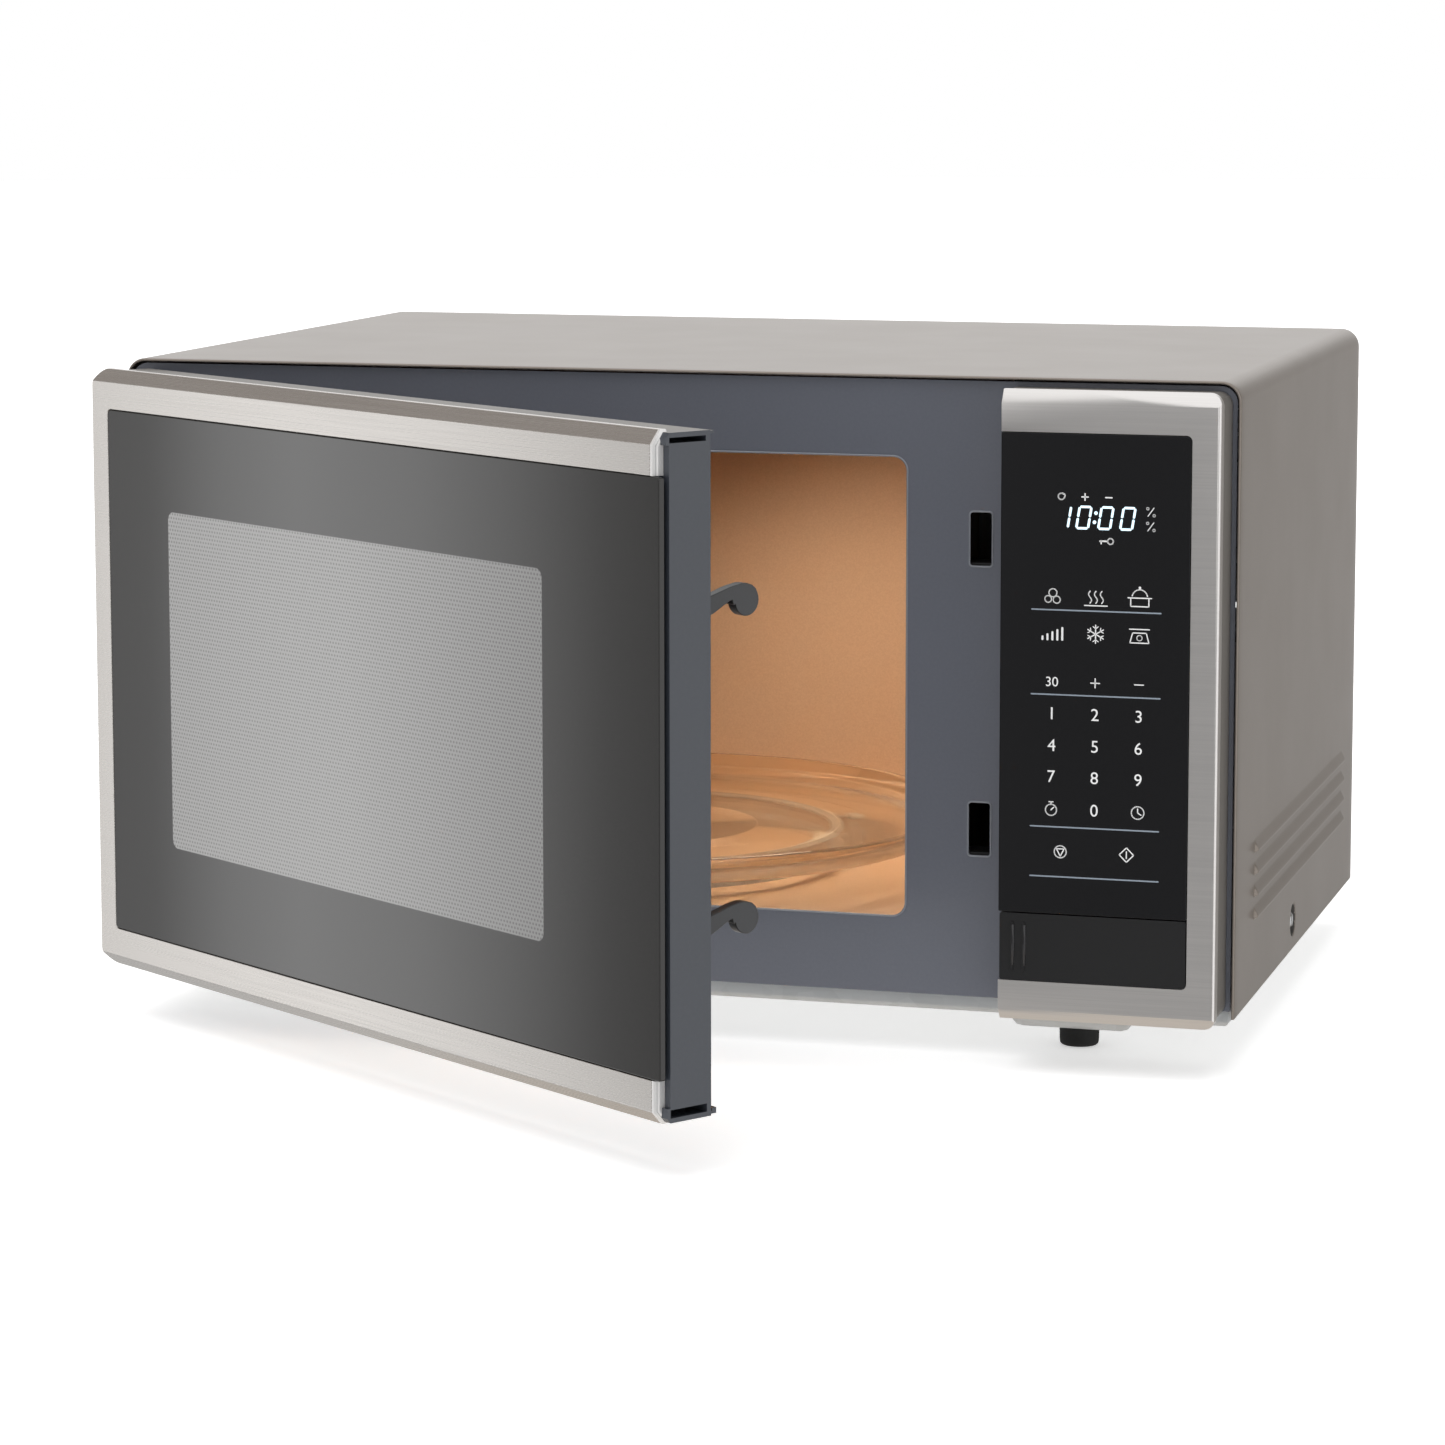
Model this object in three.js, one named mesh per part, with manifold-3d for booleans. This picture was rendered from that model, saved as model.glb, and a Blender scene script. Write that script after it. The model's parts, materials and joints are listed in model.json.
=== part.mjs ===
// Countertop microwave oven: side-hinged door, glass touch panel with a release button, glass turntable.
// Millimetres. X runs along the front to the viewer's right, Y runs to the back, Z is up.
// Pieces are drawn in cabinet coordinates: x = 0 is mid-width, y = 0 the front edge of the outer cabinet
// and z = 0 the table. The oven is then moved so that the part's origin lies under the middle of its box,
// with the door ajar.

import * as THREE from "three";
import { mergeVertices } from "three/addons/utils/BufferGeometryUtils.js";
import Module from "manifold-3d";

const wasm = await Module();
wasm.setup();

// ---------------------------------------------------------------- driving dimensions

const ORIGIN = { x: -3.3, y: 47.2 }; // where the part's origin lies, in cabinet coordinates

const GAP = 0.3; // between neighbouring pieces
const SHEET = 0.8; // steel sheet
const WALL = 2.4; // moulded plastic wall

const CABINET = { half: 262.5, depth: 353, top: 306.8, bottom: 23.6, radius: 9 };
const LOUVRE = { count: 4, pitch: 10.2, crest: 91, front: 49, back: 315, proud: 2, slope: 4.6 };
const SIDE_SCREW = { y: 163.6, z: 37.4, dimple: 7.3, sink: 2.4 };

const PLATE = { y: 2.9, bottom: 26.5, left: -261.3, right: 261.3 };
const OPENING = { left: -244, right: 111.7, bottom: 61.9, top: 269.7, radius: 5.5 };
const CAVITY = { left: -245.5, right: 113.2, floor: 49.5, ceiling: 283, front: 4, back: 343, radius: 8 };
const PORT = { front: 142, back: 198, bottom: 160, top: 212 }; // the waveguide's mouth in the right wall
const SLOT = { left: 141.2, right: 150.8, bottom: 222.1, top: 245.9 }; // the upper latch slot
const HOOK_PITCH = 130.8; // from the upper hook and slot to the lower ones

const BASE = { z: 17.3, front: 7, back: 348.6, half: 259, rim: 48 };
const FOOT = { x: 185.4, front: 37.3, back: 315, radius: 9.2, seat: 14.8, stem: 3 };
const FEET = [
  [-FOOT.x, FOOT.front],
  [FOOT.x, FOOT.front],
  [-FOOT.x, FOOT.back],
  [FOOT.x, FOOT.back],
];
const REAR = { y: 350, half: 261.2, bottom: 24.2, top: 305.4 };
const REAR_SCREW = { x: 246, high: 288, low: 38 };
const REAR_SCREWS = [
  [-REAR_SCREW.x, REAR_SCREW.high],
  [REAR_SCREW.x, REAR_SCREW.high],
  [-REAR_SCREW.x, REAR_SCREW.low],
  [REAR_SCREW.x, REAR_SCREW.low],
];
const VENTS = { rows: 8, columns: 8, pitch: 11, width: 5 }; // the slots in the rear panel
const GLAND = { x: 226, z: 62, radius: 8, bore: 5, flange: 11 };

// The door and the control panel share one front section.
const FRONT = { y: -27.06, glassTop: 285.2, glassBottom: 41.7, glass: 3 };
const EDGE = { top: 303.5, faceTop: 297.6, faceBottom: 28.7, bottom: 23.5, y: -22.7 };
const TRIM_SHEET = 0.8;

const DOOR = { left: -261.5, right: 159.3, railEnd: 156.3, glassLeft: -248.3, back: -1.2, radius: 8 };
const WINDOW = { left: -198, right: 82.7, bottom: 87, top: 241.7, radius: 3 };
const COVER = { left: -236, right: 104, bottom: 56, top: 276 };
const SCREEN = { left: -240, right: 122, bottom: 50, top: 279, front: -19.5, back: -6 };
const HINGE = { x: -255.3, y: -8.2, ajar: 34.5, pin: 2.5, arm: 4 };
const HINGE_PLATES = { top: 290, bottom: 36 };
const HOOK = { x: 144.5, width: 5 };
const SPRING = { y: -15.6, bottom: 58.4, top: 83.6, radius: 2.6, wire: 0.45, turns: 7 };

const PANEL = { left: 161.6, right: 258.5, glassRight: 245.9, back: 2.6, radius: 6 };
const BUTTON = { bottom: 42, top: 72, left: 162.2, right: 245.4, pivotX: 243.5, pivotY: -20 };
const RIBS = { inset: 5, pitch: 5.2, width: 1.2, proud: 0.6 }; // on the button
const DISPLAY = { left: 183, right: 231, front: -21.6, back: -12, bottom: 238, top: 270 };

const TABLE = { x: -66, y: 170, track: 48, trackRadius: 126, tray: 159, underside: 63.3 };
const WHEEL = { path: 111, radius: 7.4, width: 6, axle: 2, turn: 30, lift: 0.15 };
const COUPLER = { lobe: 17, lobeWidth: 7, bottom: 49, shoulder: 55, top: 61, hub: 8.5, shaft: 3.4 };

const FAN = { x: 195, z: 205, radius: 49, y: 324, depth: 14, blades: 5, tilt: 35 };
const DUCT = { left: 157, right: 254, front: 218, back: 286, bottom: 182, top: 278, wall: 1.5 };
const LAMP = { x: 134, z: 250, front: 256, neck: 286 };
const MAGNETRON = { left: 151.4, right: 206, front: 130, back: 214, bottom: 190, top: 272 };
const ANTENNA_HOLE = 9.6; // its radius, in the waveguide and in the yoke
const TRANSFORMER = {
  left: 158,
  right: 242,
  front: 95,
  back: 155,
  bottom: 18.5,
  top: 81.5,
  limb: 28,
  window: 16,
  yoke: 14,
};
const CAPACITOR = { left: 168, right: 220, front: 206, back: 239, bottom: 20, top: 104, radius: 16 };
const FILTER = { left: 40, right: 112, front: 246, back: 310, height: 3 };
const LATCH = { left: 152.5, right: 155.5, back: 58, bottom: 84, top: 252, ledge: 223.2 };
const LEVER = { x: 190, z: 78, front: 22.5, back: 31.7, pin: 3 };
const RAMP = { left: 165.5, right: 169.5, y: 14, z: 73.5, slope: 0.42 };

// ---------------------------------------------------------------- solids

// A closed geometry as a solid that can be cut and joined.
function solid(geometry) {
  const bare = geometry.clone();
  bare.deleteAttribute("normal");
  bare.deleteAttribute("uv");
  const merged = mergeVertices(bare, 1e-4);
  const mesh = new wasm.Mesh({
    numProp: 3,
    vertProperties: merged.attributes.position.array,
    triVerts: new Uint32Array(merged.index.array),
  });
  return new wasm.Manifold(mesh);
}

function join(first, ...others) {
  return others.reduce((sum, other) => sum.add(other), first);
}

function cut(first, ...tools) {
  return tools.reduce((rest, tool) => rest.subtract(tool), first);
}

function box(x0, x1, y0, y1, z0, z1) {
  const geometry = new THREE.BoxGeometry(x1 - x0, y1 - y0, z1 - z0);
  return solid(geometry.translate((x0 + x1) / 2, (y0 + y1) / 2, (z0 + z1) / 2));
}

// A round bar between two points.
function bar(from, to, radius, sides = 14) {
  const start = new THREE.Vector3(...from);
  const end = new THREE.Vector3(...to);
  const along = end.clone().sub(start);
  const geometry = new THREE.CylinderGeometry(radius, radius, along.length(), sides);
  const upright = new THREE.Vector3(0, 1, 0);
  geometry.applyQuaternion(new THREE.Quaternion().setFromUnitVectors(upright, along.clone().normalize()));
  return solid(geometry.translate(...start.add(end).multiplyScalar(0.5).toArray()));
}

// A closed profile of [radius, z] pairs turned about a vertical axis.
function turned(profile, sides = 20, x = 0, y = 0, z = 0) {
  const points = profile.map(([radius, height]) => new THREE.Vector2(radius, height));
  const geometry = new THREE.LatheGeometry(points, sides);
  geometry.rotateX(Math.PI / 2);
  return solid(geometry.translate(x, y, z));
}

// A closed profile turned about an axis along Y (the profile's height runs to the back).
function turnedAlongY(profile, sides, x, y, z) {
  const points = profile.map(([radius, height]) => new THREE.Vector2(radius, height));
  return solid(new THREE.LatheGeometry(points, sides).translate(x, y, z));
}

const AXES = {
  x: new THREE.Vector3(1, 0, 0),
  y: new THREE.Vector3(0, 1, 0),
  z: new THREE.Vector3(0, 0, 1),
};

// Across, up and along, for an outline pushed along each axis.
const FRAMES = {
  x: [AXES.y, AXES.z, AXES.x],
  y: [AXES.x, AXES.z, AXES.y.clone().negate()],
  z: [AXES.x, AXES.y, AXES.z],
};

// An outline pushed along one axis. Along x the outline holds (y, z), along y (x, z) and along z (x, y).

function prism(outline, axis, from, to, curveSegments = 2) {
  const shape = Array.isArray(outline) ? polygon(outline) : outline;
  const options = { depth: to - from, bevelEnabled: false, curveSegments };
  const geometry = new THREE.ExtrudeGeometry(shape, options);
  geometry.applyMatrix4(new THREE.Matrix4().makeBasis(...FRAMES[axis]));
  const start = AXES[axis].clone().multiplyScalar(axis === "y" ? to : from);
  return solid(geometry.translate(...start.toArray()));
}

function polygon(points) {
  return new THREE.Shape(points.map(([u, v]) => new THREE.Vector2(u, v)));
}

// A rectangle with its own radius at each corner: lower left, lower right, upper right, upper left.
function rounded(left, right, bottom, top, radii) {
  const [a, b, c, d] = Array.isArray(radii) ? radii : [radii, radii, radii, radii];
  const shape = new THREE.Shape();
  const quarter = Math.PI / 2;
  const corner = (u, v, radius, start) => {
    if (radius > 0) shape.absarc(u, v, radius, start, start + quarter, false);
    else shape.lineTo(u, v);
  };
  shape.moveTo(left + a, bottom);
  shape.lineTo(right - b, bottom);
  corner(right - b, bottom + b, b, -quarter);
  shape.lineTo(right, top - c);
  corner(right - c, top - c, c, 0);
  shape.lineTo(left + d, top);
  corner(left + d, top - d, d, quarter);
  shape.lineTo(left, bottom + a);
  corner(left + a, bottom + a, a, 2 * quarter);
  return shape;
}

function turnAboutZ(body, degrees, x, y) {
  return body.translate([-x, -y, 0]).rotate([0, 0, degrees]).translate([x, y, 0]);
}

// ---------------------------------------------------------------- materials

function finish(color, roughness, metalness, extra = {}) {
  return () => new THREE.MeshStandardMaterial({ color, roughness, metalness, flatShading: true, ...extra });
}

const BROWN_PAINT = finish(0x827971, 0.42, 0.45);
const BRUSHED = finish(0xb9b6b2, 0.32, 0.95);
const PLATE_PAINT = finish(0x767a83, 0.3, 0.35);
const CAVITY_PAINT = finish(0xc08a5c, 0.4, 0.25);
const GALVANISED = finish(0xb4b6b6, 0.45, 0.85);
const DARK_GLASS = finish(0x3a3836, 0.08, 0.1);
const BLACK_GLASS = finish(0x0b0c0e, 0.06, 0.1);
const CLEAR_GLASS = finish(0xd9cdb8, 0.05, 0, { transparent: true, opacity: 0.4 });
const GREY_PLASTIC = finish(0x4b4a4a, 0.5, 0);
const BROWN_PLASTIC = finish(0x7c736b, 0.5, 0.1);
const BLACK_PLASTIC = finish(0x17171a, 0.42, 0);
const WHITE_PLASTIC = finish(0xe2e0d8, 0.5, 0);
const RUBBER = finish(0x141414, 0.85, 0);
const STEEL = finish(0xa6a8aa, 0.35, 0.9);
const SCREEN_STEEL = finish(0x4c4d50, 0.45, 0.7);
const CORE_STEEL = finish(0x5b5450, 0.55, 0.7);
const COPPER = finish(0xa4572c, 0.4, 0.8);
const ALUMINIUM = finish(0xc4c6c8, 0.35, 0.9);
const BOARD = finish(0x2f6b3f, 0.55, 0);
const MICA = finish(0xcbb98f, 0.55, 0);

function piece(name, paint, body) {
  const made = body.getMesh();
  const geometry = new THREE.BufferGeometry();
  const stride = made.numProp;
  const places = new Float32Array(made.numVert * 3);
  for (let i = 0; i < made.numVert; i += 1) {
    places.set(made.vertProperties.subarray(i * stride, i * stride + 3), i * 3);
  }
  geometry.setAttribute("position", new THREE.BufferAttribute(places, 3));
  geometry.setIndex(new THREE.BufferAttribute(made.triVerts, 1));
  geometry.computeVertexNormals();
  const mesh = new THREE.Mesh(geometry, paint());
  mesh.name = name;
  return mesh;
}

// ---------------------------------------------------------------- cabinet shells

// A pressed dimple with a screw hole in its floor, on the side where side is 1 or -1.
function sideDimple(side) {
  const { half } = CABINET;
  const { y, z, dimple, sink } = SIDE_SCREW;
  const rim = half - 0.1;
  const profile = [
    [2.2, half - sink - SHEET],
    [5.2, half - sink - SHEET],
    [dimple + 0.8, rim - SHEET + 0.2],
    [dimple + 0.8, rim],
    [dimple, rim],
    [5, half - sink],
    [2.2, half - sink],
    [2.2, half - sink - SHEET],
  ];
  return turned(profile, 14).rotate([0, 90 * side, 0]).translate([0, y, z]);
}

function louvreHood(crest) {
  const { half } = CABINET;
  const { front, back, proud, slope } = LOUVRE;
  const root = half - SHEET / 2;
  const lip = half + proud;
  const outside = [
    [root, crest - 1],
    [lip, crest - 1],
    [lip, crest],
    [half, crest + slope],
    [root, crest + slope],
  ];
  const inside = [
    [root - 1, crest - 2],
    [lip - SHEET, crest - 2],
    [lip - SHEET, crest - 0.4],
    [root - 1, crest + slope - 0.6],
  ];
  return cut(prism(outside, "y", front, back), prism(inside, "y", front + SHEET, back - SHEET));
}

function outerCabinet() {
  const { half, depth, top, bottom, radius } = CABINET;
  const { y, z, dimple } = SIDE_SCREW;
  const outside = rounded(-half, half, bottom, top, [0, 0, radius, radius]);
  const inner = radius - SHEET;
  const inside = rounded(-half + SHEET, half - SHEET, bottom - 5, top - SHEET, [0, 0, inner, inner]);
  let body = cut(prism(outside, "y", 0, depth, 3), prism(inside, "y", -1, depth + 1, 3));
  body = cut(body, bar([-half - 1, y, z], [half + 1, y, z], dimple + 0.3, 14));
  body = join(body, sideDimple(1), sideDimple(-1));
  for (let i = 0; i < LOUVRE.count; i += 1) {
    const crest = LOUVRE.crest - i * LOUVRE.pitch;
    const ends = [LOUVRE.front + SHEET / 2, LOUVRE.back - SHEET / 2];
    const slit = box(half - 1.5, half + 1, ...ends, crest - 0.5, crest + 2.2);
    body = join(cut(body, slit), louvreHood(crest));
  }
  return piece("outer_cabinet", BROWN_PAINT, body);
}

function rearPanel() {
  const { y, half, bottom, top } = REAR;
  let body = prism(rounded(-half, half, bottom, top, [2, 2, 8, 8]), "y", y, y + SHEET);
  const { rows, columns, pitch, width } = VENTS;
  const slots = [];
  for (let row = 0; row < rows; row += 1) {
    slots.push([150, 162 + row * pitch, 42, width], [198, 162 + row * pitch, 42, width]);
  }
  for (let column = 0; column < columns; column += 1) {
    slots.push([-230 + column * pitch, 232, width, 46]);
  }
  for (const [x, z, wide, high] of slots) {
    body = cut(body, box(x, x + wide, y - 1, y + 2, z, z + high));
  }
  for (const [x, z] of REAR_SCREWS) {
    body = cut(body, bar([x, y - 1, z], [x, y + 2, z], 2.1, 8));
  }
  const { x, z, radius } = GLAND;
  body = cut(body, bar([x, y - 1, z], [x, y + 2, z], radius + 0.3, 14));
  return piece("rear_panel", GALVANISED, body);
}

function rearScrew([x, z], index) {
  const head = REAR.y + SHEET + GAP;
  const shank = bar([x, head - 9, z], [x, head + 0.2, z], 1.8, 8);
  const profile = [[0, 0], [3.8, 0], [3.8, 1], [2.8, 1.8], [0, 1.8], [0, 0]];
  const cross = box(x - 2, x + 2, head + 1, head + 2, z - 0.4, z + 0.4);
  const screw = join(shank, turnedAlongY(profile, 12, x, head, z));
  return piece(`rear_screw_${index + 1}`, STEEL, cut(screw, cross));
}

function cordGland() {
  const { x, z, radius, bore, flange } = GLAND;
  const y = REAR.y + SHEET;
  const profile = [
    [bore, -9],
    [radius - 1, -9],
    [radius, -7],
    [radius, GAP],
    [flange, GAP],
    [flange, 1.6],
    [flange - 1.4, 2.1],
    [bore, 2.1],
    [bore, -9],
  ];
  return piece("cord_gland", BLACK_PLASTIC, turnedAlongY(profile, 14, x, y, z));
}

// The side screw stands in its own frame, along +Z, and is placed by its rotation.
function sideScrew(side) {
  const profile = [[0, 0], [1.8, 0], [1.8, 9], [3.8, 9], [3.8, 10], [2.8, 10.8], [0, 10.8], [0, 0]];
  const cross = box(-2, 2, -0.4, 0.4, 10, 11);
  const mesh = piece(`side_screw_${side > 0 ? "right" : "left"}`, STEEL, cut(turned(profile, 10), cross));
  mesh.rotation.y = (side * Math.PI) / 2;
  mesh.position.set(side * (CABINET.half - SIDE_SCREW.sink + GAP - 9), SIDE_SCREW.y, SIDE_SCREW.z);
  return mesh;
}

// The pan: a flat bottom, a low upright rim on each side and four pressed seats for the feet.
function basePlate() {
  const { z, front, back, half, rim } = BASE;
  const outside = box(-half, half, front, back, z, rim);
  const inside = box(-half + SHEET, half - SHEET, front + SHEET, back - SHEET, z + SHEET, rim + 1);
  let body = cut(outside, inside);
  for (const [x, y] of FEET) {
    const low = FOOT.seat;
    const hollow = box(x - 30 + SHEET, x + 30 - SHEET, y - 24 + SHEET, y + 24 - SHEET, low + SHEET, z + 1);
    body = join(body, box(x - 30, x + 30, y - 24, y + 24, low, z + 0.4));
    body = cut(body, hollow);
    body = cut(body, bar([x, y, low - 1], [x, y, low + 3], FOOT.stem + 0.4, 12));
  }
  for (const side of [-1, 1]) {
    const { y, z: height } = SIDE_SCREW;
    body = cut(body, bar([side * (half - 2), y, height], [side * (half + 1), y, height], 2.2, 8));
    const [x, low] = [side * REAR_SCREW.x, REAR_SCREW.low];
    body = cut(body, bar([x, back - 2, low], [x, back + 1, low], 2.2, 8));
  }
  for (let i = 0; i < 5; i += 1) {
    body = cut(body, box(70 + i * 13, 76 + i * 13, 180, 230, z - 1, z + 2));
  }
  return piece("base_plate", GALVANISED, body);
}

// A foot stands in its own frame, on z = 0, with a barbed stem that snaps into the pan.
function foot(name, [x, y]) {
  const { radius, seat, stem } = FOOT;
  const shoulder = seat - GAP;
  const barb = seat + SHEET + GAP;
  const profile = [
    [0, 0],
    [radius - 1.6, 0],
    [radius - 0.6, 1],
    [radius, shoulder],
    [stem, shoulder],
    [stem, barb],
    [stem + 1, barb],
    [stem - 1, barb + 3],
    [0, barb + 3],
    [0, 0],
  ];
  const mesh = piece(name, RUBBER, turned(profile, 16));
  mesh.position.set(x, y, 0);
  return mesh;
}

// ---------------------------------------------------------------- cavity

function frontPlate() {
  const { y, bottom, left, right } = PLATE;
  const top = CABINET.top - SHEET - GAP;
  const radius = CABINET.radius - SHEET;
  const { left: l, right: r, bottom: b, top: t, radius: corner } = OPENING;
  let body = prism(rounded(left, right, bottom, top, [1, 1, radius, radius]), "y", y, y + SHEET);
  body = cut(body, prism(rounded(l, r, b, t, corner), "y", y - 1, y + 2, 3));
  for (const drop of [0, HOOK_PITCH]) {
    const mouth = rounded(SLOT.left, SLOT.right, SLOT.bottom - drop, SLOT.top - drop, 1);
    body = cut(body, prism(mouth, "y", y - 1, y + 2, 1));
  }
  body = cut(body, prism(rounded(164.3, 250, 36, 288, 4), "y", y - 1, y + 2, 1));
  return piece("front_plate", PLATE_PAINT, body);
}

function cavityBox() {
  const { left, right, floor, ceiling, front, back, radius } = CAVITY;
  const s = SHEET;
  const { x, y, track, trackRadius } = TABLE;
  const outside = rounded(left - s, right + s, floor - s, ceiling + s, radius + s);
  let body = prism(outside, "y", front, back + s);
  body = join(body, bar([x, y, track - s], [x, y, floor - 0.2], trackRadius + s, 36));
  body = cut(body, prism(rounded(left, right, floor, ceiling, radius), "y", front - 1, back));
  body = cut(body, bar([x, y, track], [x, y, floor + 1], trackRadius, 36));
  body = cut(body, bar([x, y, track - 3], [x, y, track + 1], 6, 14));
  body = cut(body, box(right - 1, right + 2, PORT.front, PORT.back, PORT.bottom, PORT.top));
  for (let i = 0; i < 4; i += 1) {
    body = cut(body, box(right - 1, right + 2, 262 + i * 6, 265 + i * 6, 240, 260));
  }
  return piece("cavity_box", CAVITY_PAINT, body);
}

function waveguide() {
  const x = CAVITY.right + SHEET + GAP;
  const far = MAGNETRON.left - GAP;
  const outside = box(x, far, PORT.front - 6, PORT.back + 6, PORT.bottom - 6, 258);
  const inside = box(x - 1, far - SHEET, PORT.front - 5, PORT.back + 5, PORT.bottom - 5, 257);
  const y = (MAGNETRON.front + MAGNETRON.back) / 2;
  const z = (MAGNETRON.bottom + MAGNETRON.top) / 2;
  const mouth = bar([far - 2, y, z], [far + 1, y, z], ANTENNA_HOLE, 12);
  return piece("waveguide", GALVANISED, cut(outside, inside, mouth));
}

function micaCover() {
  const x = CAVITY.right - GAP;
  const sheet = box(x - 0.5, x, PORT.front - 6, PORT.back + 6, PORT.bottom - 6, PORT.top + 6);
  return piece("mica_cover", MICA, sheet);
}

// ---------------------------------------------------------------- power parts

function magnetronYoke() {
  const { left, right, front, back, bottom, top } = MAGNETRON;
  const wall = 1.5;
  const y = (front + back) / 2;
  const z = (bottom + top) / 2;
  const frame = box(left, right, front, back, bottom, top);
  const air = box(left + wall, right - wall, front - 1, back + 1, bottom + wall, top - wall);
  const inner = bar([left - 1, y, z], [left + 3, y, z], ANTENNA_HOLE, 12);
  const outer = bar([right - 3, y, z], [right + 1, y, z], 15, 14);
  return piece("magnetron_yoke", GALVANISED, cut(frame, air, inner, outer));
}

// The anode block with its cooling fins, the antenna towards the cavity and the filter box outside.
function magnetronCore() {
  const { left, right, front, back, bottom, top } = MAGNETRON;
  const y = (front + back) / 2;
  const z = (bottom + top) / 2;
  let body = bar([left + 6, y, z], [right - 5, y, z], 20, 12);
  body = join(body, bar([left - 22, y, z], [left + 8, y, z], 7.5, 10));
  body = join(body, bar([right - 6, y, z], [right + 5, y, z], 12, 12));
  body = join(body, box(right + 3, right + 30, y - 20, y + 20, z - 22, z + 22));
  for (let i = 0; i < 5; i += 1) {
    const x = left + 11 + i * 7;
    body = join(body, box(x, x + 1, front + 3, back - 3, bottom + 3, top - 3));
  }
  return piece("magnetron_core", ALUMINIUM, body);
}

function thermalCutout() {
  const z = MAGNETRON.top + GAP;
  const profile = [[0, 0], [11, 0], [11, 1], [8, 1], [8, 7], [0, 7], [0, 0]];
  return piece("thermal_cutout", BLACK_PLASTIC, turned(profile, 14, 178, 172, z));
}

function transformerCore() {
  const { left, right, front, back, bottom, top, limb, window, yoke } = TRANSFORMER;
  const middle = (left + right) / 2;
  let body = box(left, right, front, back, bottom, top);
  for (const near of [middle - limb / 2 - window, middle + limb / 2]) {
    body = cut(body, box(near, near + window, front - 1, back + 1, bottom + yoke, top - yoke));
  }
  return piece("transformer_core", CORE_STEEL, body);
}

function transformerWindings() {
  const { left, right, front, back, bottom, top, limb, window, yoke } = TRANSFORMER;
  const middle = (left + right) / 2;
  const half = limb / 2;
  const reach = half + window - GAP;
  const low = bottom + yoke + GAP;
  const high = top - yoke - GAP;
  const outside = rounded(middle - reach, middle + reach, front - 14, back + 14, 6);
  const inside = rounded(middle - half - GAP, middle + half + GAP, front - GAP, back + GAP, 1);
  const body = cut(prism(outside, "z", low, high), prism(inside, "z", low - 1, high + 1));
  return piece("transformer_windings", COPPER, body);
}

function hvCapacitor() {
  const { left, right, front, back, bottom, top, radius } = CAPACITOR;
  const can = prism(rounded(left, right, front, back, radius), "z", bottom, top);
  const edge = rounded(left - 1, right + 1, front - 1, back + 1, radius + 1);
  const rim = prism(edge, "z", top - 3, top + 1);
  const y = (front + back) / 2 - 0.5;
  const tabs = [left + 14, right - 14].map((x) => {
    const insulator = bar([x, y, top], [x, y, top + 5], 4, 8);
    return join(insulator, box(x - 0.4, x + 0.4, y - 3, y + 3, top + 4, top + 13));
  });
  return piece("hv_capacitor", ALUMINIUM, join(can, rim, ...tabs));
}

function hvDiode() {
  const profile = [[0, 0], [1, 0], [1, 10], [3.6, 10], [3.6, 26], [1, 26], [1, 36], [0, 36], [0, 0]];
  return piece("hv_diode", BLACK_PLASTIC, turned(profile, 10, 236, 222, 24));
}

// ---------------------------------------------------------------- fan, duct, lamp

function fanHousing() {
  const { x, z, radius } = FAN;
  const mouth = radius + 3;
  const plate = box(x - 60, x + 60, 342, 345, z - 60, z + 60);
  const ring = bar([x, 318, z], [x, 344, z], mouth + 2, 28);
  let body = cut(join(plate, ring), bar([x, 317, z], [x, 346, z], mouth, 28));
  const reach = mouth + 1;
  const across = box(x - reach, x + reach, 318, 321, z - 4, z + 4);
  const upright = box(x - 4, x + 4, 318, 321, z - reach, z + reach);
  body = join(body, across, upright, bar([x, 318, z], [x, 321, z], 16));
  return piece("fan_housing", BLACK_PLASTIC, cut(body, bar([x, 317, z], [x, 322, z], 3.2, 10)));
}

function fanMotor() {
  const { x, z } = FAN;
  const body = join(box(x - 30, x + 30, 292, 310, z - 26, z + 22), bar([x, 288, z], [x, 317.7, z], 15));
  return piece("fan_motor", CORE_STEEL, cut(body, bar([x, 300, z], [x, 319, z], 2.5, 10)));
}

function fanImpeller() {
  const { x, y, z, radius, depth, blades, tilt } = FAN;
  let body = join(bar([x, y, z], [x, y + depth, z], 14, 16), bar([x, 304, z], [x, y + 1, z], 2, 10));
  for (let i = 0; i < blades; i += 1) {
    const blade = box(-11, 11, -0.8, 0.8, 12, radius - 2).rotate([0, 0, tilt]);
    body = join(body, blade.rotate([0, (i * 360) / blades, 0]).translate([x, y + depth / 2, z]));
  }
  return piece("fan_impeller", BLACK_PLASTIC, body);
}

function airDuct() {
  const { left, right, front, back, bottom, top, wall } = DUCT;
  const outside = box(left, right, front, back, bottom, top);
  const inside = box(left + wall, right - wall, front - 1, back + 1, bottom + wall, top - wall);
  return piece("air_duct", BLACK_PLASTIC, cut(outside, inside));
}

function lampBulb() {
  const { x, z, front, neck } = LAMP;
  const length = neck - front;
  const neckRadius = 6.4;
  const glass = [[0, 0], [5, 1], [9, 5], [10.5, 11], [9.5, 17], [7, 24]];
  const profile = [...glass, [neckRadius, length], [0, length], [0, 0]];
  return piece("lamp_bulb", CLEAR_GLASS, turnedAlongY(profile, 14, x, front, z));
}

function lampSocket() {
  const { x, z, neck } = LAMP;
  const flange = box(x - 12, x + 12, neck + 2, neck + 4, z - 12, z + 12);
  const body = join(bar([x, neck + GAP, z], [x, neck + 22, z], 9), flange);
  return piece("lamp_socket", WHITE_PLASTIC, body);
}

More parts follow.
